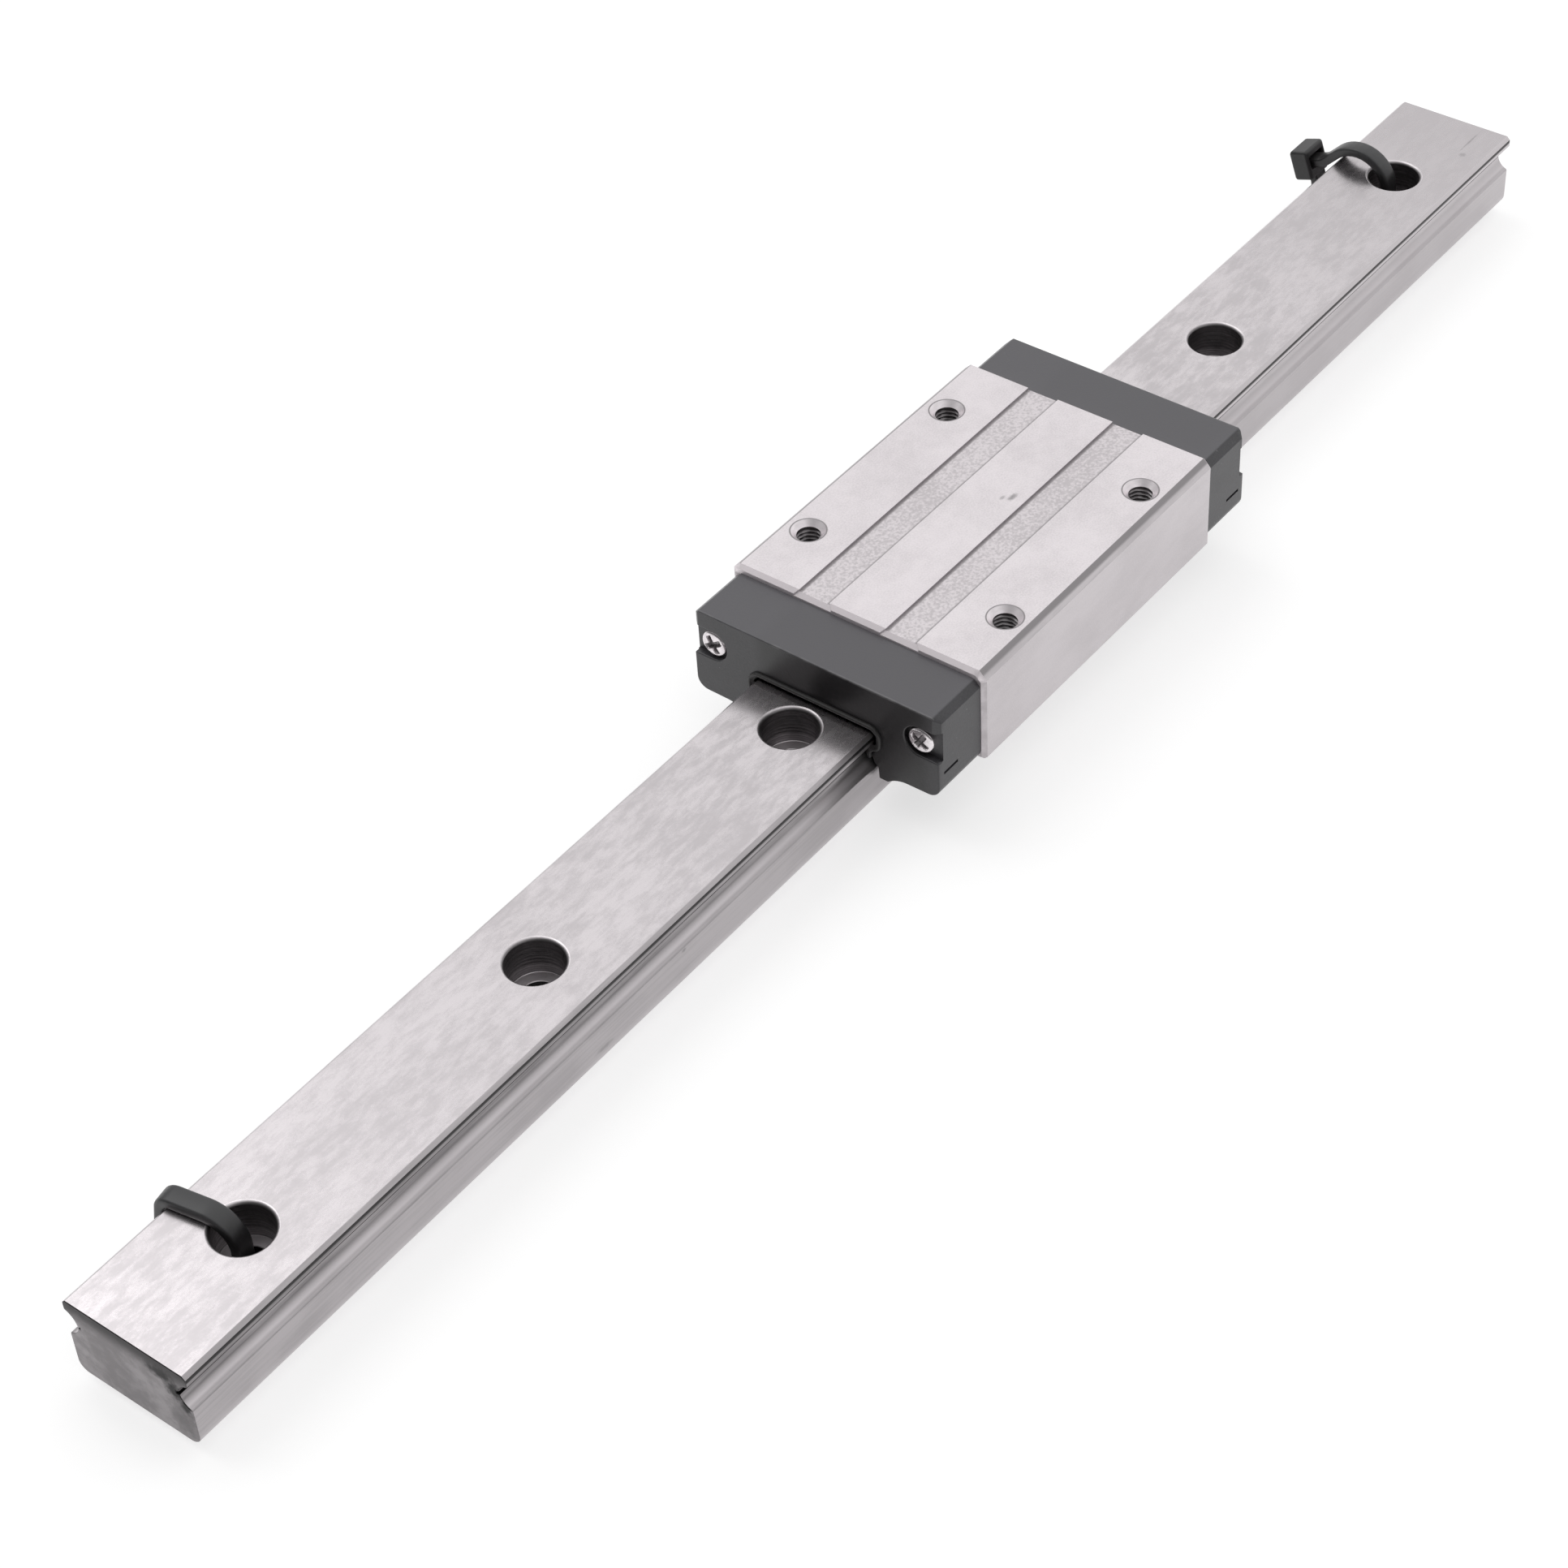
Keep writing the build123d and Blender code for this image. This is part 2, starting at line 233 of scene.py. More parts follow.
def at(x, outline):
    """An outline in (y, z) placed in the plane at x, or one row per x when x is an array."""
    x = np.atleast_1d(x)
    rows = np.broadcast_to(outline, (len(x),) + outline.shape)
    return np.concatenate([np.broadcast_to(x[:, None, None], rows.shape[:2] + (1,)), rows], -1)


def long_patches(x, runs, side):
    """One patch for each run of arcs, carried along x; it starts at the last point of the run before it."""
    patches, last = [], np.empty((0, 2))
    for arcs, finish in runs:
        outline = np.concatenate([last, follow(arcs)])
        last = outline[-1:]
        if len(outline) > 1:
            patches.append(patch(at(x, outline) * [1, side, 1], finish))
    return patches


def end_patches(x, inset_x, loop, inset, finish):
    """A bevelled end: the outline at x, the outline drawn in by the inset at inset_x, and a flat cap."""
    rows = np.concatenate([at(x, loop()), at(inset_x, loop(-inset))])
    return [patch(rows, finish, True), cap(rows[1], finish)]


def revolve(x, y, profile, turn):
    """A profile of (radius, height) turned about the upright line through (x, y)."""
    radius, height = profile[:, 0, None], profile[:, 1, None]
    rows = np.broadcast_arrays(x + radius * np.cos(turn), y + radius * np.sin(turn), height)
    return np.stack(rows, -1)


TILE_STEPS = 16  # steps along each side of a tile


def drilled_tile(x_low, x_high, y_low, y_high, x, y, radius, height, turn=None):
    """A flat rectangle with a round hole at (x, y): straight lines run from each point of the circle to
    a point of the rectangle's edge. Returns the two rows of points and the angles on the circle."""
    corner_x = np.array([x_high, x_high, x_low, x_low, x_high])
    corner_y = np.array([y_low, y_high, y_high, y_low, y_low])
    corner_turn = np.unwrap(np.arctan2(corner_y - y, corner_x - x))
    place, corners = np.arange(4 * TILE_STEPS) / TILE_STEPS, np.arange(5)
    turn = np.interp(place, corners, corner_turn) if turn is None else turn
    circle = np.stack([x + radius * np.cos(turn), y + radius * np.sin(turn), 0 * turn + height], -1)
    edge = [np.interp(place, corners, corner_x), np.interp(place, corners, corner_y), 0 * turn + height]
    return np.stack([circle, np.stack(edge, -1)]), turn


print("a drilled tile has", 4 * TILE_STEPS, "points round its hole")

# %% [markdown]
# ## Light and camera
# The object stands on its two tie straps, on a plain pale floor under soft light. The camera's place
# and lens were worked out from the photograph: the rail's six holes and four corners fix them.
# A large soft lamp hangs over the far side, so the ground top mirrors it only near the camera's end.
# The room is bright overhead, greyer near the horizon and dark beyond the rail's near end, which keeps
# the faces turned that way dark. The floor adds white for the camera and for reflections, so it hides
# its own tone and keeps the object's soft shadow.

# %% Shader helpers
def put(tree, kind, links=None, **values):
    """Adds a node, sets its own settings and its unlinked inputs, and links the inputs given in links."""
    made = tree.nodes.new("ShaderNode" + kind)
    for name, value in values.items():
        if hasattr(made, name):
            setattr(made, name, value)
        else:
            made.inputs[name.replace("_", " ")].default_value = value
    for name, source in (links or {}).items():
        tree.links.new(source, made.inputs[name])
    return made


def give(socket, value):
    """Links a source to an input socket, or sets it to a plain value, vector or colour."""
    if isinstance(value, bpy.types.NodeSocket):
        socket.id_data.links.new(value, socket)
    elif socket.type == "RGBA":
        socket.default_value = (*value, 1)
    elif socket.type == "VECTOR":
        socket.default_value = value if isinstance(value, tuple) else (value,) * 3
    else:
        socket.default_value = value


def mix_colours(share, first, second):
    """A mix of two colours, each a socket or plain, by a share."""
    mix = put(share.id_data, "Mix", data_type="RGBA")
    for index, value in ((0, share), (6, first), (7, second)):
        give(mix.inputs[index], value)
    return mix.outputs[2]


def ramp(source, low, high, low_value=0.0, high_value=1.0):
    """Maps a source value from low..high to low_value..high_value, smoothly and without overshoot."""
    made = put(source.id_data, "MapRange", {"Value": source}, interpolation_type="SMOOTHSTEP")
    for index, value in enumerate((low, high, low_value, high_value), start=1):
        give(made.inputs[index], value)
    return made.outputs["Result"]


def calculate(operation, first, second=0.5):
    """One arithmetic step on a socket and a second value, a socket or a number."""
    made = put(first.id_data, "Math", operation=operation)
    give(made.inputs[0], first)
    give(made.inputs[1], second)
    return made.outputs[0]


def vectors(operation, first, second):
    """One step of vector arithmetic on a socket and a second vector, a socket or plain."""
    made = put(first.id_data, "VectorMath", operation=operation)
    give(made.inputs[0], first)
    give(made.inputs[1], second)
    return made.outputs["Value" if operation in ("LENGTH", "DOT_PRODUCT") else "Vector"]


def off(value, place):
    """How far a value lies from a place, to either side."""
    return calculate("ABSOLUTE", calculate("SUBTRACT", value, place))


def noise(where, size, detail=2.0, rough=0.5):
    """Noise whose grain has the given size, along each axis or on all three."""
    place = vectors("DIVIDE", where, size)
    grained = put(where.id_data, "TexNoise", {"Vector": place}, Scale=1.0, Detail=detail, Roughness=rough)
    return grained.outputs[0]


def plain_rays(tree):
    """One where the ray comes from the camera, a reflection or a refraction, and zero elsewhere."""
    rays = put(tree, "LightPath").outputs
    seen = calculate("MAXIMUM", rays["Is Camera Ray"], rays["Is Glossy Ray"])
    return calculate("MAXIMUM", seen, rays["Is Transmission Ray"])


# %% Camera
picture_side = 1932
focal_pixels = 4365.1
camera_data = bpy.data.cameras.new("camera")
camera_data.sensor_width = 36
camera_data.lens = focal_pixels / picture_side * camera_data.sensor_width
camera_data.clip_start, camera_data.clip_end = 0.01, 20
camera = bpy.data.objects.new("camera", camera_data)
right = Vector((0.605383, -0.794603, -0.046010))
up = Vector((0.561609, 0.385481, 0.732120))
camera_turn = Matrix((right, up, right.cross(up))).transposed().to_4x4()
camera_place = Vector((-225.434, -169.589, 248.596)) * MM
camera.matrix_world = Matrix.Translation(camera_place) @ camera_turn
bpy.context.scene.collection.objects.link(camera)
bpy.context.scene.camera = camera
print("lens", round(camera_data.lens, 2), "mm")

# %% Floor
bpy.context.scene.view_settings.view_transform = "Standard"
floor_height, half_floor = cad_box[0].z, 4.0
floor_tone, floor_glow = (0.52, 0.52, 0.52, 1), 0.62
white = (1, 1, 1, 1)
floor_paint = bpy.data.materials.new("pale_floor")
floor_paint.use_nodes = True
tree = floor_paint.node_tree
shader = tree.nodes["Principled BSDF"]
shader.inputs["Base Color"].default_value = floor_tone
shader.inputs["Roughness"].default_value = 0.9
shader.inputs["Emission Color"].default_value = white
give(shader.inputs["Emission Strength"], calculate("MULTIPLY", plain_rays(tree), floor_glow))
floor_corners = np.array([(-1, -1), (1, -1), (1, 1), (-1, 1)]) * half_floor
floor_mesh = bpy.data.meshes.new("floor")
floor_mesh.from_pydata([(x, y, floor_height) for x, y in floor_corners], [], [(0, 1, 2, 3)])
floor_mesh.materials.append(floor_paint)
floor = bpy.data.objects.new("floor", floor_mesh)
bpy.context.scene.collection.objects.link(floor)
print("floor at z", round(floor_height / MM, 2), "mm")

# %% Room and lamp
world = bpy.data.worlds.new("studio")
world.use_nodes = True
bpy.context.scene.world = world
tree = world.node_tree
toward = put(tree, "SeparateXYZ", {"Vector": put(tree, "TexCoord").outputs["Generated"]}).outputs
to_middle = ramp(toward["X"], -0.7, 0.0, 0.12, 0.36)
to_far_end = ramp(toward["X"], 0.35, 0.85, 0.0, 0.60)
near_horizon = calculate("ADD", to_middle, to_far_end)
overhead = ramp(toward["X"], -0.85, -0.15, 0.12, 0.95)
rise = ramp(toward["Z"], 0.40, 0.62)
room = put(tree, "Mix", {0: rise, 2: near_horizon, 3: overhead}).outputs[0]
strength = calculate("MAXIMUM", room, put(tree, "LightPath").outputs["Is Camera Ray"])
give(tree.nodes["Background"].inputs["Strength"], strength)
tree.nodes["Background"].inputs["Color"].default_value = white

lamp_place = Vector((-0.06, 0.80, 1.2))
lamp_data = bpy.data.lights.new("key", "AREA")
lamp_data.size, lamp_data.energy = 1.0, 3.4
lamp = bpy.data.objects.new("key", lamp_data)
lamp.location = lamp_place
lamp.rotation_mode = "QUATERNION"
lamp.rotation_quaternion = (-lamp_place).to_track_quat("-Z", "Y")
bpy.context.scene.collection.objects.link(lamp)
print("lamp", round(lamp_place.length, 2), "m away,", round(lamp_data.energy, 1), "W")

# %% [markdown]
# ## Finishes
# Every finish is worked out from the part's own place in millimetres, so its marks have their true
# size on each piece. Effects that several materials share are node groups, built once:
# - ground steel has soft clouds, streaks along the grinding direction and a fine grain;
# - the stain group gives an uneven spot at a chosen place, for stains and for painted shade, and a fade
#   rises between two places along an axis;
# - a turned bore has rings round its axis, so they depend on height alone;
# - a moulded part has a fine grain with a few light specks.

# %% Making a group
def new_group(name, inputs, outputs):
    """An empty shader node group with number or vector inputs and number outputs, and its two end nodes."""
    group = bpy.data.node_groups.new(name, "ShaderNodeTree")
    for label, value in inputs.items():
        kind = "NodeSocketVector" if isinstance(value, tuple) else "NodeSocketFloat"
        group.interface.new_socket(label, in_out="INPUT", socket_type=kind).default_value = value
    for label in outputs:
        group.interface.new_socket(label, in_out="OUTPUT", socket_type="NodeSocketFloat")
    return group, group.nodes.new("NodeGroupInput").outputs, group.nodes.new("NodeGroupOutput").inputs


def place_in_mm(tree):
    """The shaded point in the part's frame, in millimetres."""
    return vectors("MULTIPLY", put(tree, "TexCoord").outputs["Object"], 1000)


def parts_in_mm(tree):
    """The shaded point's X, Y and Z in the part's frame, in millimetres."""
    return put(tree, "SeparateXYZ", {"Vector": place_in_mm(tree)}).outputs


def use(tree, group, **values):
    """Adds a shared group to a material's tree and sets its inputs, sockets or plain values."""
    made = tree.nodes.new("ShaderNodeGroup")
    made.node_tree = group
    for name, value in values.items():
        give(made.inputs[name.replace("_", " ")], value)
    return made.outputs


# %% Groups for shared effects
ground, given, result = new_group(
    "ground_finish",
    {"Streak size": (6, 1, 1), "Cloud": 0.4, "Streak": 0.4, "Grain": 0.2},
    ["Tone", "Height"],
)
where = place_in_mm(ground)
cloud = ramp(noise(where, (9, 7, 7), 3), 0.3, 0.7)
streak = ramp(noise(where, given["Streak size"], 3, 0.6), 0.3, 0.7)
grain = noise(where, 0.2, 2, 0.7)
marks = {"Cloud": cloud, "Streak": streak, "Grain": grain}
shares = [calculate("MULTIPLY", mark, given[name]) for name, mark in marks.items()]
fine = calculate("ADD", *shares[1:])
give(result["Tone"], calculate("ADD", shares[0], fine))
give(result["Height"], fine)

spot, given, result = new_group("stain", {"Centre": (0, 0, 0), "Size": (1, 1, 1)}, ["Mask"])
where = place_in_mm(spot)
reach = vectors("DIVIDE", vectors("SUBTRACT", where, given["Centre"]), given["Size"])
distance = calculate("ADD", vectors("LENGTH", reach, 0), noise(where, 0.625, 3, 0.6))
give(result["Mask"], ramp(distance, 0.7, 1.6, 1.0, 0.0))

fade, given, result = new_group("fade", {"Axis": (0, 0, 1), "Low": 0, "High": 1}, ["Mask"])
along = vectors("DOT_PRODUCT", place_in_mm(fade), given["Axis"])
give(result["Mask"], ramp(along, given["Low"], given["High"]))

turned, given, result = new_group("turned_rings", {"Pitch": 0.3}, ["Ring"])
level = calculate("DIVIDE", parts_in_mm(turned)["Z"], given["Pitch"])
on_axis = put(turned, "CombineXYZ", {"Z": level}).outputs[0]
give(result["Ring"], ramp(noise(on_axis, 1, 2, 0.7), 0.3, 0.7))

moulded, given, result = new_group("moulded_finish", {"Grain size": 0.2}, ["Tone", "Speck", "Height"])
where = place_in_mm(moulded)
grain = noise(where, given["Grain size"], 2, 0.6)
both = calculate("ADD", grain, noise(where, 5, 2))
give(result["Tone"], calculate("MULTIPLY", both, 0.5))
give(result["Speck"], ramp(noise(where, 1 / 2.4, 1), 0.72, 0.80))
give(result["Height"], grain)
print("shared groups:", [group.name for group in bpy.data.node_groups])

# %% [markdown]
# A steel finish mixes a darker and a lighter tone, and its roughness and fine height follow the same
# marks. The ball grooves, the sides and the holes differ in tone because each is made another way:
# ground, milled or turned. The relief slots and the screws' cross recesses
# are painted dark for the shade in them.

# %% Steel
def new_material(name, metallic, roughness):
    """A material with its shader's plain values set."""
    made = bpy.data.materials.new(name)
    made.use_nodes = True
    shader = made.node_tree.nodes["Principled BSDF"]
    shader.inputs["Metallic"].default_value = metallic
    shader.inputs["Roughness"].default_value = roughness
    return made, made.node_tree, shader.inputs


def emboss(inputs, height, depth):
    """Lets a height between 0 and 1 bend the surface normal, as marks of a depth in micrometres do."""
    bump = put(height.id_data, "Bump", {"Height": height}, Strength=1.0, Distance=depth * 1e-6)
    give(inputs["Normal"], bump.outputs[0])


def warm(value):
    """The colour of steel at a brightness: its green and blue are a little weaker than its red."""
    return value, 0.945 * value, 0.97 * value


def steel(name, dark, light, roughness, depth, size, cloud=0.4, streak=0.4, grain=0.2):
    """Steel with marks between a dark and a light tone; where it is dark it is 0.06 rougher."""
    made, tree, inputs = new_material(name, 1, roughness)
    finish = use(tree, ground, Streak_size=size, Cloud=cloud, Streak=streak, Grain=grain)
    tone = ramp(finish["Tone"], 0.2, 0.8)
    give(inputs["Base Color"], mix_colours(tone, warm(dark), warm(light)))
    give(inputs["Roughness"], ramp(tone, 0, 1, roughness + 0.06, roughness))
    emboss(inputs, finish["Height"], depth)
    return made


# Each row gives the dark and the light tone, the roughness, the marks' depth in micrometres, the streaks'
# size, and the shares of cloud, streak and grain where they aren't the usual ones.
steel_marks = {
    "rail_top": (0.57, 0.73, 0.24, 3, (2.4, 0.8, 1), 0.25, 0.35, 0.4),
    "rail_side": (0.40, 0.46, 0.34, 1, (14, 0.5, 0.35)),
    "rail_edge": (0.50, 0.60, 0.30, 1, (9, 0.4, 0.4)),
    "head_side": (0.22, 0.30, 0.34, 1, (14, 0.5, 0.3)),
    "raceway": (0.25, 0.34, 0.36, 1, (18, 0.3, 0.2)),
    # painted shade: the relief slots are nearly black for the shade in them
    "slot": (0.03, 0.05, 0.50, 2, (6, 1, 1)),
    "rail_end": (0.25, 0.34, 0.50, 4, (1.6, 1.6, 1.2), 0.5, 0.3),
    "mouth": (0.66, 0.78, 0.35, 2, (1, 1, 0.2)),
    "land": (0.68, 0.83, 0.45, 4, (1.5, 1.5, 1), 0.2, 0.1, 0.8),
    "strip": (0.62, 0.76, 0.55, 5, (0.35, 0.35, 1), 0.2, 0.6),
    "block_side": (0.59, 0.65, 0.42, 2, (4, 1, 0.8), 0.25, 0.1, 0.7),
    "block_edge": (0.60, 0.68, 0.42, 2, (6, 0.6, 0.6)),
    "block_end": (0.60, 0.68, 0.60, 2, (1, 2, 1)),
    "tap_mouth": (0.84, 0.92, 0.40, 2, (1, 1, 0.2)),
    "thread": (0.20, 0.36, 0.38, 2, (1, 1, 0.3)),
    "screw": (0.70, 0.84, 0.20, 1, (0.3, 0.3, 0.3)),
    # painted shade: the screws' cross recesses are darker than their heads for the shade in them
    "recess": (0.22, 0.34, 0.45, 2, (0.3, 0.3, 0.3)),
    "ball": (0.72, 0.78, 0.09, 0.1, (2, 2, 2)),
}
steels = {name: steel(name + "_steel", *marks) for name, marks in steel_marks.items()}


def steel_list(names):
    """The steels of a piece, in the order in which its patches number them."""
    return [steels[name] for name in names.split()]


print("steel of brightness 0.5 has the colour", warm(0.5))

# %% [markdown]
# Light that falls off along the rail and down its sides is painted into the colours, as are a few
# highlights, bands of shade and a shade on the rail's end; the photograph also shows a few stains and
# scratches.
# A tint mixes a colour over the one that a material has, where a mask says so. The masks are a fade
# along an axis, an uneven spot at a place, and a few that follow the holes, the strips and the plates.

# %% Tints along an axis
def tint(made, mask, colour, strength=1.0):
    """Mixes a colour over a material's colour; mask is a function that builds a value in its tree."""
    tree = made.node_tree
    target = tree.nodes["Principled BSDF"].inputs["Base Color"]
    share = calculate("MULTIPLY", mask(tree), strength)
    give(target, mix_colours(share, target.links[0].from_socket, colour))


def axis_mask(axis, low, high):
    """A mask that rises from 0 at low to 1 at high along one axis, in millimetres."""
    along = tuple(float(axis == letter) for letter in "XYZ")
    return lambda tree: use(tree, fade, Axis=along, Low=low, High=high)["Mask"]


axis_tints = [
    # painted light: the rail's side is lighter towards the far end and near its foot
    ("rail_side", "X", -90, 90, 0.53, 0.8),
    ("rail_side", "Z", 1.9, 0.9, 0.56, 0.7),
    # painted light: the raceway is lighter towards the far end, with a painted highlight low in the groove
    # near its lower lip
    ("raceway", "X", -70, 90, 0.58, 0.9),
    ("raceway", "Z", 5.82, 5.48, 0.60, 1),
    ("raceway", "Z", 5.20, 5.05, 0.52, 1),
    # painted light: the head's side is lighter towards the far end; a band of painted shade darkens it just
    # under the top chamfer
    ("head_side", "X", -85, 40, 0.60, 1),
    ("head_side", "Z", 8.58, 8.84, 0.035, 1),
    # painted light: the top chamfer is lighter towards the far end
    ("rail_edge", "X", -60, 100, 0.64, 1),
    # painted shade: the rail's end darkens towards its top edge
    ("rail_end", "Z", 7.0, 9.2, 0.05, 0.9),
    # painted shade: the top darkens towards the far end
    ("rail_top", "X", 50, 120, 0.54, 0.85),
    # painted shade: the bolt holes' mouths darken inward
    ("mouth", "Z", 9.48, 9.33, 0.24, 1),
    # painted shade: the block's long chamfers darken towards the top
    ("block_edge", "Z", 15.40, 15.65, 0.33, 1),
    # painted light: the block's ends are lighter above the plates
    ("block_end", "Z", 14.8, 15.2, 0.98, 1),
]
for name, axis, low, high, tone, strength in axis_tints:
    tint(steels[name], axis_mask(axis, low, high), warm(tone), strength)
print(len(axis_tints), "tints along an axis")


# %% Stains and scratches, and painted shade on the rail's end
def spot_mask(centre, size):
    """A mask that is 1 on an uneven spot at a place, in millimetres."""
    return lambda tree: use(tree, spot, Centre=centre, Size=size)["Mask"]


stains = [
    ("land", (16.6, -2.0, 16), (0.9, 0.4, 1), 0.3, 0.8),
    ("land", (15.9, -1.2, 16), (0.5, 0.3, 1), 0.3, 0.5),
    # painted shade on the rail's end: a dark patch low down and a line of dark spots across it
    ("rail_end", (-115, -6.0, 2.6), (1, 2.2, 3.0), 0.15, 0.7),
    ("rail_end", (-115, -4.2, 7.9), (1, 2.2, 1.2), 0.035, 1),
    ("rail_end", (-115, -5.7, 6.4), (1, 1.5, 1.6), 0.03, 1),
    ("rail_end", (-115, -6.7, 4.9), (1, 0.8, 1.2), 0.035, 1),
    ("rail_top", (111.4, -3.9, 9.5), (3.0, 0.16, 1), 0.33, 0.7),
    ("rail_top", (108.4, -4.6, 9.5), (0.5, 0.6, 1), 0.36, 0.6),
    ("rail_side", (-59.6, -7.5, 1.9), (1.6, 1, 0.4), 0.26, 0.6),
    ("rail_side", (113.1, -7.5, 6.4), (0.9, 1, 0.35), 0.22, 0.7),
    ("rail_side", (97.9, -7.5, 7.9), (0.5, 1, 0.5), 0.22, 0.7),
    ("rail_side", (-41.4, -7.5, 6.2), (0.5, 1, 0.35), 0.22, 0.7),
    ("rail_side", (-47.2, -7.5, 4.6), (0.45, 1, 0.3), 0.22, 0.7),
]
for name, centre, size, tone, strength in stains:
    tint(steels[name], spot_mask(centre, size), warm(tone), strength)
print(len(stains), "stains and scratches")


# %% Rims of the tapped holes, and painted shade at the borders of the strips
def hole_rim(tree):
    """1 round each tapped hole, up to 0.1 mm beyond its mouth, and 0 from 0.2 mm on: the distance to the
    nearest hole's axis is the root of along squared plus aside squared."""
    place = parts_in_mm(tree)
    along = off(off(place["X"], block_x), tap_x)
    aside = off(off(place["Y"], 0), tap_y)
    squares = [calculate("MULTIPLY", value, value) for value in (along, aside)]
    distance = calculate("SQRT", calculate("ADD", *squares))
    return ramp(distance, tap_mouth + 0.2, tap_mouth + 0.1)


def shade_at_strip_borders(tree):
    """Painted shade along a strip's long borders, under the lands' walls: 1 within 0.2 mm of the borders, and
    0 from 0.45 mm on.
    """
    middle, half = (strip_out + strip_in) / 2, (strip_out - strip_in) / 2
    from_middle = off(off(parts_in_mm(tree)["Y"], 0), middle)
    return ramp(from_middle, half - 0.45, half - 0.2)


tint(steels["land"], hole_rim, warm(0.26), 0.9)
# painted shade along the strips' borders, where the lands' walls shade them
tint(steels["strip"], shade_at_strip_borders, warm(0.30), 0.75)
print("rims round holes", 2 * tap_x, "by", 2 * tap_y, "mm apart")

# %% Bores
steels["bore"], tree, inputs = new_material("bore_steel", 1, 0.42)
rings = use(tree, turned, Pitch=0.45)["Ring"]
marks = use(tree, ground, Streak_size=(2, 2, 0.5), Cloud=0.4, Streak=0.4, Grain=0.2)["Tone"]
shade = calculate("MULTIPLY", rings, marks)
give(inputs["Base Color"], mix_colours(shade, warm(0.15), warm(0.46)))
emboss(inputs, rings, 20)
# painted light on the counterbores' floors, and painted shade in the bolt holes below them
tint(steels["bore"], axis_mask("Z", 5.06, 5.02), warm(0.75))
tint(steels["bore"], axis_mask("Z", 4.94, 4.86), warm(0.03))
print("bores darken below", round(bore_floor, 2), "mm")


# %% Plastic
def plastic(name, dark, light, roughness, grain_size=0.2, depth=12, speck=0.0, index=1.5):
    """A moulded finish: colour between dark and light, with a fine grain and light specks."""
    made, tree, inputs = new_material(name, 0, roughness)
    inputs["IOR"].default_value = index
    finish = use(tree, moulded, Grain_size=grain_size)
    colour = mix_colours(ramp(finish["Tone"], 0.35, 0.65), dark, light)
    specks = calculate("MULTIPLY", finish["Speck"], speck)
    give(inputs["Base Color"], mix_colours(specks, colour, (0.30, 0.30, 0.31)))
    emboss(inputs, finish["Height"], depth)
    return made


def dark_reflection_on_front(tree):
    """Where a plate's front gets a painted dark reflection: 1 from 13 mm right of a plate's middle to 6 mm
    left of it, and 0 from 2 mm further out.
    """
    return ramp(off(parts_in_mm(tree)["Y"], -3.5), 11.5, 9.5)


def patchy_edge_highlight(tree):
    """Where the plates get a patchy painted highlight: 1 in places at the plates' outer top edges, within 0.1
    mm of the outer face and above 14.95 mm.
    """
    place = parts_in_mm(tree)
    out = ramp(off(place["X"], block_x), plate_face - 0.3, plate_face - 0.1)
    broken = ramp(noise(place_in_mm(tree), 1 / 0.3), 0.42, 0.62)
    high = ramp(place["Z"], 14.85, 14.95)
    return calculate("MULTIPLY", calculate("MULTIPLY", out, broken), high)


plate_tones = (0.038, 0.037, 0.041), (0.056, 0.054, 0.060)
plate_plastic = plastic("plate_plastic", *plate_tones, 0.36, speck=0.3, index=1.58)
# painted reflection: the middle of each plate's front is darkened as if mirroring a dark room
tint(plate_plastic, dark_reflection_on_front, (0.009, 0.008, 0.009), 0.93)
# painted light: the plates' top faces are lighter
tint(plate_plastic, axis_mask("Z", 14.98, 15.08), (0.105, 0.102, 0.112), 0.85)
# painted highlight, patchy, along the plates' outer top edges
tint(plate_plastic, patchy_edge_highlight, (0.20, 0.195, 0.20), 0.5)
seal_rubber = plastic("seal_rubber", (0.030, 0.029, 0.029), (0.048, 0.046, 0.046), 0.5, 0.3, 6)
tie_nylon = plastic("tie_nylon", (0.016, 0.015, 0.016), (0.026, 0.025, 0.026), 0.36, 0.4, 3)
# painted highlight: the ties are lighter on their upper parts
tint(tie_nylon, axis_mask("Z", 8.5, 10.8), (0.05, 0.05, 0.052))
print(len(bpy.data.materials), "materials")

# %% [markdown]
# ## Rail
# The rail is a long ground bar. Its section has a chamfered head, a pointed-arch ball groove with a
# narrow relief slot in each side, and rounded feet. The side skin is that section carried along the
# rail. The top and the base are tiles, one for each bolt hole, whose lines run from the hole's circle
# to the tile's straight edges. The holes themselves are profiles turned about upright lines.

# %% The rail's section
lip_round, top_edge, foot_round, break_edge = 0.25, 0.4, 1.2, 0.08
lip_side = rail_side - lip_round
arch_y, arch_rise = ball_y + arch_shift, groove_radius + lip_round
lip_drop = np.sqrt(arch_rise**2 - (arch_y - lip_side) ** 2)
lip_turn = np.degrees(np.arctan2(lip_drop, arch_y - lip_side))
relief_half, relief_depth = 0.25, 0.35
relief_turn = np.degrees(np.arcsin((arch_shift + relief_half) / groove_radius))
root_turn = np.degrees(np.arcsin(arch_shift / groove_radius))
relief_y = arch_y - np.sqrt(groove_radius**2 - arch_shift**2) - relief_depth

foot_arc = corner(rail_side, 0, -90, 0, foot_round, 6)
low_lip = (lip_side, ball_z + arch_shift - lip_drop, lip_round, 0, lip_turn, 4)
high_lip = (lip_side, ball_z - arch_shift + lip_drop, lip_round, -lip_turn, 0, 4)
head_arcs = [
    corner(rail_side, rail_top - top_edge, 0, 45, break_edge, 2),
    corner(rail_side - top_edge, rail_top, 45, 90, break_edge, 2),
]


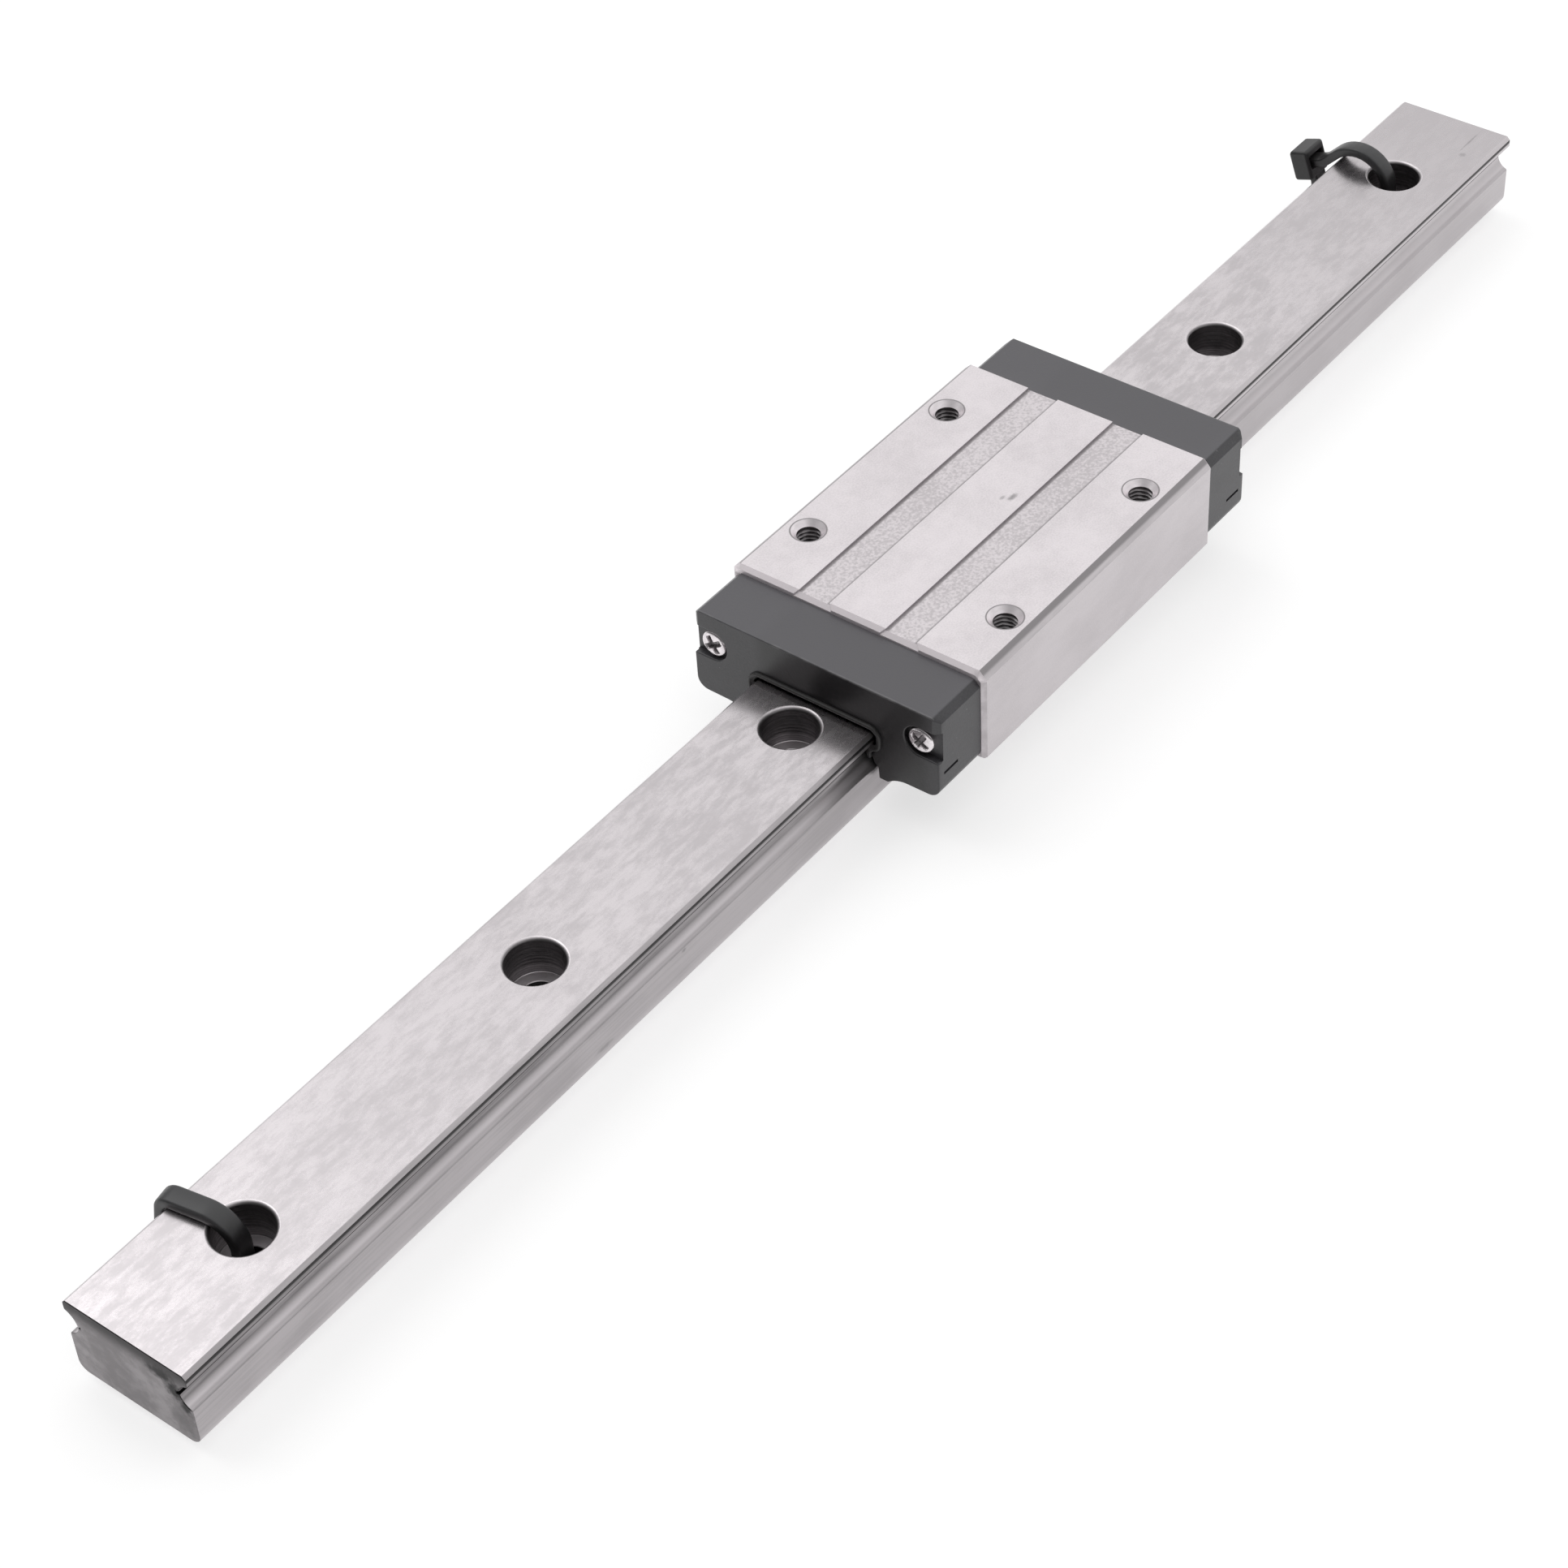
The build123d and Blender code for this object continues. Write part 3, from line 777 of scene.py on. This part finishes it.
def groove_arcs(low_end, high_start, low_start=lip_turn, high_end=lip_turn, steps=12):
    """The two arches of a ball groove, each from its lip's turn to the turn at the groove's root."""
    low = (arch_y, ball_z + arch_shift, -groove_radius, low_start, low_end, steps)
    high = (arch_y, ball_z - arch_shift, -groove_radius, -high_start, -high_end, steps)
    return low, high


low_arch, high_arch = groove_arcs(relief_turn, relief_turn)
relief = [point(relief_y, ball_z - relief_half, 0), point(relief_y, ball_z + relief_half, 0)]
rail_half = [foot_arc, low_lip, low_arch, *relief, high_arch, high_lip, *head_arcs]
slot_end = (*high_arch[:4], high_arch[3], 0)


print("the groove's lips turn by", round(lip_turn, 1), "degrees")


def rail_loop(gap=0.0):
    """The rail's whole closed outline, with its top and base divided as the tiles' edges are."""
    right_side = follow(rail_half, gap)
    left_side = mirrored(right_side)
    top = between(right_side[-1], left_side[0], TILE_STEPS)
    base = between(left_side[-1], right_side[0], TILE_STEPS)
    return np.concatenate([right_side, top, left_side, base])


# %% The rail's patches
flat_end = rail_end - break_edge
tile_ends = np.concatenate([[-flat_end], (hole_places[1:] + hole_places[:-1]) / 2, [flat_end]])
stations = np.unique(np.round(np.linspace(tile_ends[:-1], tile_ends[1:], TILE_STEPS + 1).ravel(), 9))
top_half = follow(head_arcs)[-1, 0]
base_half = follow([foot_arc])[0, 0]
bore_break = 0.06
mouth_turn = np.radians(np.linspace(40, 90, 6))
mouth_in = (np.sin(mouth_turn) - np.sin(mouth_turn[0])) / (1 - np.sin(mouth_turn[0]))
mouth_down = 1 - np.cos(mouth_turn) / np.cos(mouth_turn[0])
mouth_profile = np.stack([
    mouth_radius - (mouth_radius - bore_radius) * mouth_in,
    rail_top - mouth_depth * mouth_down,
], -1)
bore_profile = np.array([
    mouth_profile[-1],
    (bore_radius, bore_floor + bore_break),
    (bore_radius - bore_break, bore_floor),
    (bolt_radius + bore_break, bore_floor),
    (bolt_radius, bore_floor - bore_break),
    (bolt_radius, 0),
])
SIDE, TOP, GROOVE, END, MOUTH, BORE, SLOT, HEAD, RAIL_EDGE = range(9)
rail_runs = [
    ([foot_arc, low_lip], SIDE),
    ([low_arch], GROOVE),
    ([*relief, slot_end], SLOT),
    ([high_arch], GROOVE),
    ([high_lip, head_arcs[0]], HEAD),
    (head_arcs[1:], RAIL_EDGE),
]
rail_patches = long_patches(stations, rail_runs, 1) + long_patches(stations, rail_runs, -1)
for low, high, place in zip(tile_ends[:-1], tile_ends[1:], hole_places):
    top_tile, turn = drilled_tile(low, high, -top_half, top_half, place, 0, mouth_radius, rail_top)
    base_tile, turn = drilled_tile(low, high, -base_half, base_half, place, 0, bolt_radius, 0, turn)
    rail_patches += [
        patch(top_tile, TOP, True),
        patch(base_tile, TOP, True),
        patch(revolve(place, 0, mouth_profile, turn), MOUTH, True),
        patch(revolve(place, 0, bore_profile, turn), BORE, True),
    ]
for end in (-1, 1):
    rail_patches += end_patches(end * flat_end, end * rail_end, rail_loop, break_edge, END)
make_piece(
    "rail_ground", rail_patches,
    steel_list("rail_side rail_top raceway rail_end mouth bore slot head_side rail_edge"),
    "rail", ["rail"],
)

# %% [markdown]
# ## Carriage block
# The block is a saddle of ground steel over the rail. Its top has three fine lands with two slightly
# sunk, rougher strips between them, and four tapped holes. The skin is made as the rail's is: a
# section carried along, and a drilled tile round each tapped hole. A thread is one surface of turn
# and depth, whose radius rises and falls once a pitch and moves one pitch down in each turn.

# %% The block's section
block_edge, foot_edge, block_break, end_edge = 0.9, 0.4, 0.1, 0.45
channel_half, roof = 2 * ball_y - rail_side, rail_top + 0.9
block_arch_y = ball_y - arch_shift
wall_turn = np.degrees(np.arccos((channel_half - block_arch_y) / groove_radius))
channel_arcs = [
    point(0, roof, -90),
    corner(channel_half, roof, -90, -180, 0, 0),
    (block_arch_y, ball_z - arch_shift, -groove_radius, 180 + wall_turn, 180 + root_turn, 12),
    (block_arch_y, ball_z + arch_shift, -groove_radius, 180 - root_turn, 180 - wall_turn, 12),
    corner(channel_half, block_foot, 180, 270, block_break, 2),
    corner(block_side - foot_edge, block_foot, -90, -45, block_break, 2),
]
side_arcs = [
    corner(block_side, block_foot + foot_edge, -45, 0, block_break, 2),
    corner(block_side, block_top - block_edge, 0, 45, block_break, 2),
]
edge_arcs = [corner(block_side - block_edge, block_top, 45, 90, block_break, 2)]
land_edge = corner(strip_out, block_top, 90, 180, 0, 0)
strip_arcs = [corner(strip_out, strip_z, 90, 180, 0, 0), corner(strip_in, strip_z, 0, 90, 0, 0)]
middle_arcs = [corner(strip_in, block_top, 0, 90, 0, 0), point(0, block_top, 90)]


def block_loop(gap=0.0):
    """The block's closed outline; the outer lands are divided as their tiles' edges are."""
    outer = follow([*channel_arcs, *side_arcs, *edge_arcs], gap)
    inner = follow([land_edge, *strip_arcs, *middle_arcs], gap)
    half = np.concatenate([outer, between(outer[-1], inner[0], TILE_STEPS), inner])
    return np.concatenate([half, mirrored(half)])


print("the block's outline has", len(block_loop()), "points")

# %% A tapped hole
tap_pitch, tap_crest, tap_root = 0.5, 1.30, 1.5
tap_floor, tap_tip = block_top - 5.0, block_top - 5.6


def tapped_hole(x, y, turn):
    """A thread: radius = crest + depth * valley(height / pitch + turn / 360 degrees), where valley runs up
    and down between 0 and 1 with a flat crest. It fades in below the mouth and ends in a drilled cone."""
    mouth = np.array([(tap_mouth, block_top), (tap_crest, block_top - tap_mouth + tap_crest)])
    start = mouth[1, 1]
    height = np.linspace(start, tap_floor, 71)[:, None]
    phase = (height / tap_pitch + turn / (2 * np.pi)) % 1
    valley = np.clip(np.abs(phase - 0.5) * 4 - 0.6, 0, 1)
    fade = np.clip((start - height) / tap_pitch, 0, 1)
    radius = tap_crest + (tap_root - tap_crest) * valley * fade
    rows = np.broadcast_arrays(x + radius * np.cos(turn), y + radius * np.sin(turn), height)
    thread = np.stack(rows, -1)
    tip = np.broadcast_to(np.array([x, y, tap_tip]), thread[:1].shape)
    return [
        patch(revolve(x, y, mouth, turn), TAP_MOUTH, True),
        patch(thread, THREAD, True),
        patch(np.concatenate([thread[-1:], tip]), THREAD, True),
    ]


print("threads", round(block_top - tap_floor, 2), "mm deep, one turn every", tap_pitch, "mm")

# %% The block's patches
BLOCK_SIDE, LAND, STRIP, EDGE, CHANNEL, TAP_MOUTH, THREAD, BLOCK_END = range(8)
inner_end = block_end - end_edge
land_outer = follow(edge_arcs)[-1, 0]
tile_x = np.array([-inner_end, 0, inner_end]) + block_x
block_stations = np.unique(np.round(np.linspace(tile_x[:-1], tile_x[1:], TILE_STEPS + 1).ravel(), 9))
block_patches = []
saddle_runs = [(channel_arcs, CHANNEL), (side_arcs[:1], EDGE), (side_arcs[1:], BLOCK_SIDE), (edge_arcs, EDGE)]
strip_runs = [
    ([land_edge], BLOCK_SIDE), (strip_arcs[:1], BLOCK_SIDE), (strip_arcs[1:], STRIP),
    (middle_arcs[:1], BLOCK_SIDE), (middle_arcs[1:], LAND),
]
for side in (1, -1):
    for runs in (saddle_runs, strip_runs):
        block_patches += long_patches(block_stations, runs, side)
    for low, high, x in zip(tile_x[:-1], tile_x[1:], (block_x - tap_x, block_x + tap_x)):
        tile, turn = drilled_tile(low, high, strip_out, land_outer, x, tap_y, tap_mouth, block_top)
        drilled = [patch(tile, LAND, True), *tapped_hole(x, tap_y, turn)]
        block_patches += [(points * [1, side, 1], faces, finish) for points, faces, finish in drilled]
for end in (-1, 1):
    faces_x = block_x + end * inner_end, block_x + end * block_end
    block_patches += end_patches(*faces_x, block_loop, end_edge, BLOCK_END)
make_piece(
    "block_ground", block_patches,
    steel_list("block_side land strip block_edge raceway tap_mouth thread block_end"),
    "carriage", ["carriage_block"],
)

# %% [markdown]
# ## End plates
# Each plate is moulded plastic. It is one surface of place round the outline and depth behind the
# front: the outline itself changes with depth. Where it jumps at one depth, the skin makes a flat
# step, and so come the floors of the screw pockets, the seat of the seal and the slits in the sides.

# %% The plate's outline at a depth
facet_width, pocket_depth, pocket_low, pocket_high = 0.6, 0.8, 9.3, 13.0
pocket_radius, pocket_z = (pocket_high - pocket_low) / 2, (pocket_high + pocket_low) / 2
pocket_y = plate_side - 2.4
shoulder, foot_sweep, plate_round = 0.8, 1.4, 0.15
slit_low, slit_high, slit_near, slit_far, slit_depth = 7.325, 7.675, 0.9, 3.3, 0.5
opening_gap, seat_gap, seat_depth, seal_turn = 0.45, 0.95, 1.2, 27.6
skirt_drop, skirt_width, skirt_sweep = 0.95, 1.6, 2.5
plate_foot = skirt_foot + skirt_drop
skirt_round = (skirt_sweep**2 + skirt_drop**2) / (2 * skirt_drop)
skirt_turn = -90 + np.degrees(np.arcsin(skirt_sweep / skirt_round))
skirt_middle = (rail_side + skirt_width + skirt_sweep, plate_foot - skirt_round)
skirt_arc = (*skirt_middle, -skirt_round, skirt_turn, -90, 8)
wiped_arcs = [*groove_arcs(root_turn, root_turn, low_start=seal_turn), high_lip, *head_arcs]


def plate_outline(facet=0.0, inset=0.0, pocket=False, slit=False, seat=False):
    """The plate's closed outline: a facet cuts its upper corners, inset rounds its front edge, and
    pocket, slit and seat say which cuts it has at that depth."""
    side = plate_side - inset
    inner_foot = corner(rail_side + opening_gap, skirt_foot, 180, 270, plate_round, 3)
    foot = follow([inner_foot, skirt_arc], -inset / 2)
    sweep = follow([corner(plate_side, plate_foot, -90, 0, foot_sweep, 8)], -inset)
    slit_y = side - slit_depth if slit else side
    slit_z = np.linspace(slit_low, slit_high, 4) if not slit else [slit_low, slit_low, slit_high, slit_high]
    slit_run = np.stack([[side, slit_y, slit_y, side], slit_z], -1)
    low, high = np.array([side - facet, pocket_low]), np.array([side - facet, pocket_high])
    bite = np.radians(np.linspace(-90, -270, 17))
    reach = pocket_radius + inset
    arc = np.stack([pocket_y + reach * np.cos(bite), pocket_z + reach * np.sin(bite)], -1)
    rim = [low + [0, -inset], arc, high + [0, inset]] if pocket else [low, between(low, high, 18), high]
    pocket_run = np.concatenate([np.atleast_2d(run) for run in rim])
    top = follow([
        corner(plate_side - facet, plate_top - shoulder + facet, 0, 45, plate_round, 2),
        corner(plate_side - shoulder, plate_top, 45, 90, plate_round, 2),
    ], -inset)
    outer = np.concatenate([foot, sweep, slit_run, [[side, pocket_low - plate_round]], pocket_run, top])
    seated = follow(wiped_arcs, seat_gap if seat else opening_gap)
    opening = np.concatenate([follow([low_lip], opening_gap), seated])
    return np.concatenate([outer, mirrored(outer), mirrored(opening)[::-1], opening[::-1]])


def plate_patches(end):
    """The skin of one plate; end is -1 at the front of the block and 1 at its rear."""
    turn = np.radians(np.linspace(0, 90, 5))
    steps = [
        (plate_length, ""), (slit_far, ""), (slit_far, "slit"), (seat_depth, "slit"),
        (seat_depth, "slit seat"), (slit_near, "slit seat"), (slit_near, "seat"),
        (pocket_depth, "seat"), (pocket_depth, "seat pocket"), (facet_width, "seat pocket"),
    ]
    rows = [(depth, dict.fromkeys(cuts.split(), True)) for depth, cuts in steps]
    for angle in turn:
        depth = plate_round * (1 - np.sin(angle))
        inset = plate_round * (1 - np.cos(angle))
        rows.append((depth, {"seat": True, "pocket": True, "facet": facet_width - depth, "inset": inset}))
    rings = [at(block_x + end * (plate_face - depth), plate_outline(**cuts)) for depth, cuts in rows]
    skin = np.concatenate(rings)
    return [patch(skin, 0, True), cap(skin[0]), cap(skin[-1])]


for end, name in ENDS:
    make_piece(
        f"plate_{name}", plate_patches(end), [plate_plastic],
        "carriage", [f"end_plate_{name}"],
    )

# %% [markdown]
# ## End seals
# A rubber lip in each plate wipes the rail. It follows the rail's own outline at a small gap, so it is
# a section of gap and depth carried round that outline.

# %% Seals
seal_section = np.array([
    (0.20, -0.10), (0.26, 0.05), (0.36, 0.12), (0.46, 0.16), (0.54, 0.26), (0.62, 0.33),
    (0.72, 0.35), (0.84, 0.33), (0.92, 0.24), (0.94, 0.10), (0.94, -1.19), (0.20, -1.19),
])


def seal_patches(end):
    """Each row is the rail's outline at one gap of the section, placed at that section's depth."""
    rows = []
    for gap, stand in seal_section:
        half = follow(wiped_arcs, gap)
        rows.append(at(block_x + end * (plate_face + stand), np.concatenate([half, mirrored(half)])))
    skin = np.concatenate([*rows, rows[0]])
    return [patch(skin), cap(skin[:-1, 0]), cap(skin[:-1, -1])]


for end, name in ENDS:
    make_piece(
        f"seal_{name}", seal_patches(end), [seal_rubber],
        "carriage", [f"end_seal_{name}"], 50,
    )

# %% [markdown]
# ## Plate screws
# A small cross-head screw holds each side of each plate. Its head is a low dome on a polar grid, and
# the cross is pressed into it: the dome's height less a smooth cross-shaped depth.

# %% Screws
head_radius, head_height, rim_height = 1.55, 0.75, 0.30
cross_half, cross_arm, cross_depth = 0.27, 1.0, 0.6
shank = np.array([(head_radius, 0), (0.8, 0), (0.8, -9.8), (0.0, -10.0)])


def screw_patches(end, side):
    """Height on the head = dome(radius) - depth * cross(u, v). The dome is rim + rise * cos(a)^0.8 at the
    radius R * sin(a)^0.6, and the cross is 1 inside either arm and falls to 0 over its tapered walls."""
    a = np.radians(np.linspace(0, 90, 49))[:, None]
    turn = np.radians(np.linspace(0, 360, 96, endpoint=False))
    radius = head_radius * np.sin(a) ** 0.6
    dome = rim_height + (head_height - rim_height) * np.cos(a) ** 0.8
    u, v = np.abs(radius * np.cos(turn)), np.abs(radius * np.sin(turn))

    def inside(size, limit, wall):
        return np.clip((limit + wall / 2 - size) / wall, 0, 1)

    def arm(across, along):
        return inside(across, cross_half, 0.12) * inside(along, cross_arm, 0.3)

    cross = np.maximum(arm(u, v), arm(v, u))
    height = dome - cross_depth * cross * np.clip((head_radius - radius) / 0.4, 0, 1)
    below = np.broadcast_to(shank[:, None], (len(shank), len(turn), 2))
    recess = np.concatenate([(cross[:-1] > 0.35).ravel(), np.zeros(below[..., 0].size, bool)]).astype(int)
    radius = np.concatenate([np.broadcast_to(radius, height.shape), below[..., 0]])
    x = block_x + end * (plate_face - pocket_depth) + end * np.concatenate([height, below[..., 1]])
    turned = turn + np.radians(45 + 13 * side)
    y, z = side * pocket_y + radius * np.cos(turned), pocket_z + radius * np.sin(turned)
    return [patch(np.stack([x, y, z], -1), recess, True)]


for end, name in ENDS:
    for side, hand in HANDS:
        make_piece(
            f"screw_{name}_{hand}", screw_patches(end, side), steel_list("screw recess"),
            "carriage", [f"plate_screw_{name}_{hand}"],
        )

# %% [markdown]
# ## Balls
# The block runs on steel balls. Each loaded row has twelve of them in the grooves' pointed arches,
# and each ball is a surface of longitude and latitude.

# %% Ball rows
balls_in_row = 12
latitude = np.radians(np.linspace(-90, 90, 13))
longitude = np.radians(np.linspace(0, 360, 20, endpoint=False))
unit_ball = revolve(0, 0, np.stack([np.cos(latitude), np.sin(latitude)], -1), longitude)
row_reach = block_end - 1.2 - ball_radius
for side, hand in HANDS:
    places = np.linspace(block_x - row_reach, block_x + row_reach, balls_in_row)
    balls = [patch(unit_ball * ball_radius + [x, side * ball_y, ball_z], 0, True) for x in places]
    make_piece(f"balls_{hand}", balls, steel_list("ball"), "carriage", [f"ball_row_{hand}"], 60)

# %% [markdown]
# ## Stop ties
# Each tie is a nylon strap pulled through its own head. The strap is a section with rounded edges and
# fine teeth on its inner side, carried along a loop: down through the bolt hole, under the rail and
# back up over its edge. The head is a rounded block with a window, as one surface that goes over the
# outside and back through the window.

# %% Strap
strap_width, strap_thick, strap_gap = 2.2, 1.1, 0.1
tooth_pitch, tooth_height = 0.9, 0.14
under_z, hole_offset = -strap_gap - strap_thick / 2, 0.55
strap_arcs = [
    corner(strap_width / 2, -strap_thick / 2, -90, 0, 0.22, 3),
    corner(strap_width / 2, strap_thick / 2, 0, 90, 0.35, 4),
    corner(-strap_width / 2, strap_thick / 2, 90, 180, 0.35, 4),
    corner(-strap_width / 2, -strap_thick / 2, 180, 270, 0.22, 3),
]


def rounded_path(corners, radii, spacing=0.12):
    """A polyline whose corners are turned by arcs, at even steps, and each point's distance along it."""
    corners = np.array(corners, float)
    run = [corners[:1]]
    for before, here, after, radius in zip(corners[:-2], corners[1:-1], corners[2:], radii):
        back, ahead = before - here, after - here
        back, ahead = back / np.linalg.norm(back), ahead / np.linalg.norm(ahead)
        half = np.arccos(np.clip(back @ ahead, -1, 1)) / 2
        middle = here + (back + ahead) / np.linalg.norm(back + ahead) * radius / np.sin(half)
        first, last = here + back * radius / np.tan(half), here + ahead * radius / np.tan(half)
        share = np.linspace(0, 1, 25)[:, None]
        chord = first + (last - first) * share - middle
        run.append(middle + chord / np.linalg.norm(chord, axis=1)[:, None] * radius)
    run = np.concatenate([*run, corners[-1:]])
    length = np.concatenate([[0], np.cumsum(np.linalg.norm(np.diff(run, axis=0), axis=1))])
    even = np.linspace(0, length[-1], int(length[-1] / spacing))
    return np.stack([np.interp(even, length, run[:, k]) for k in (0, 1)], -1), even


def upright(place, skew, across, width, z):
    """Points of a tie: across the rail and along it, turned by skew about the bolt hole at the place."""
    x = place - np.sin(skew) * across + np.cos(skew) * width
    return np.stack([x, np.cos(skew) * across + np.sin(skew) * width, z], -1)


def strap_patches(corners, radii, place, skew):
    """Points = path + across * width + normal * thickness, in the upright plane of the tie; the inner
    side is lowered between the teeth."""
    path, along = rounded_path(corners, radii)
    tangent = np.gradient(path, axis=0)
    tangent /= np.linalg.norm(tangent, axis=1)[:, None]
    normal = np.stack([tangent[:, 1], -tangent[:, 0]], -1)
    loop = follow(strap_arcs)
    inner = between(loop[-1], loop[0], 8)
    loop = np.concatenate([loop, inner])
    width, thick = loop[:, 0], np.broadcast_to(loop[:, 1], (len(path), len(loop))).copy()
    tooth = np.clip(np.abs((along / tooth_pitch) % 1 - 0.5) * 6 - 1, 0, 1)[:, None]
    toothed = np.clip((0.95 - np.abs(inner[:, 0])) * 8, 0, 1)
    thick[:, -len(inner):] += tooth_height * tooth * toothed
    across = path[:, None, 0] + normal[:, None, 0] * thick
    z = path[:, None, 1] + normal[:, None, 1] * thick
    skin = upright(place, skew, across, width, z)
    return [patch(skin, 0, True), cap(skin[0]), cap(skin[-1])]


print("each tie's strap is", strap_width, "by", strap_thick, "mm")


# %% Head
def head_patches(centre, lean, place, skew):
    """Rounded rectangles over the outside and back through the window. The head's axis through the
    window points outward at the lean; its length lies across that axis."""
    length, thick, width, edge = 3.8 / 2, 2.5 / 2, 4.0 / 2, 0.35
    window_length, window_width, flare, shift = 1.45 / 2, 2.8 / 2, 0.15, 0.175
    turn = np.radians(np.linspace(90, 0, 5))
    drawn_in, risen = edge * (1 - np.cos(turn)), edge * (1 - np.sin(turn))
    outside = [(length - a, width - a, b - thick, edge, 0) for a, b in zip(drawn_in, risen)]
    rows = outside + [(a, b, -h, r, s) for a, b, h, r, s in outside[::-1]]
    rows += [
        (window_length + flare, window_width + flare, thick, 0.1, shift),
        (window_length, window_width, thick - flare, 0.1, shift),
        (window_length, window_width, flare - thick, 0.1, shift),
        (window_length + flare, window_width + flare, -thick, 0.1, shift),
        outside[0],
    ]
    outward, along = np.array([np.cos(lean), -np.sin(lean)]), np.array([np.sin(lean), np.cos(lean)])
    skin = []
    for half_length, half_width, axial, radius, offset in rows:
        first = follow([corner(half_length, half_width, 0, 90, radius, 4)])
        box = np.concatenate([first, first[::-1] * [-1, 1], -first, first[::-1] * [1, -1]])
        flat = centre + axial * outward + (box[:, :1] + offset) * along
        skin.append(upright(place, skew, flat[:, 0], box[:, 1], flat[:, 1]))
    return [patch(np.stack(skin), 0, True)]


# %% Near tie
near_place, near_skew = hole_places[0], np.radians(10)
head_across, head_foot = rail_side + 2.3, under_z - strap_thick / 2
strap_over = rail_top + strap_gap + strap_thick / 2
near_corners = [
    (head_across, head_foot), (head_across, head_foot + 3.1), (rail_side + 0.75, strap_over),
    (hole_offset, strap_over), (hole_offset, under_z), (head_across - 1.55, under_z),
]
near_head = np.array([head_across, head_foot + 1.25])
near_patches = strap_patches(near_corners, [3.0, 1.4, 3.3, 1.0], near_place, near_skew)
near_patches += head_patches(near_head, np.radians(90), near_place, near_skew)
make_piece("tie_near", near_patches, [tie_nylon], "rail", ["stop_tie_near"], 35)

# %% Far tie
far_lean, far_fall = np.radians(18.9), np.radians(46)
far_head = np.array([rail_side + 4.19, rail_top - 1.85])
head_out = np.array([np.cos(far_lean), -np.sin(far_lean)])
head_up = np.array([np.sin(far_lean), np.cos(far_lean)])
tail = far_head + head_out * 1.4
bend = far_head - head_out * 2.65
root = far_head - head_out * 0.7 - head_up * 1.55
far_corners = [
    tail, bend, (hole_offset, bend[1] + (bend[0] - hole_offset) * np.tan(far_fall)),
    (hole_offset, under_z), (rail_side + 2.4, under_z), root - head_up * 1.2, root,
]
far_patches = strap_patches(far_corners, [2.5, 4.1, 1.0, 3.0, 3.0], hole_places[-1], 0)
far_patches += head_patches(far_head, far_lean, hole_places[-1], 0)
make_piece("tie_far", far_patches, [tie_nylon], "rail", ["stop_tie_far"], 35)
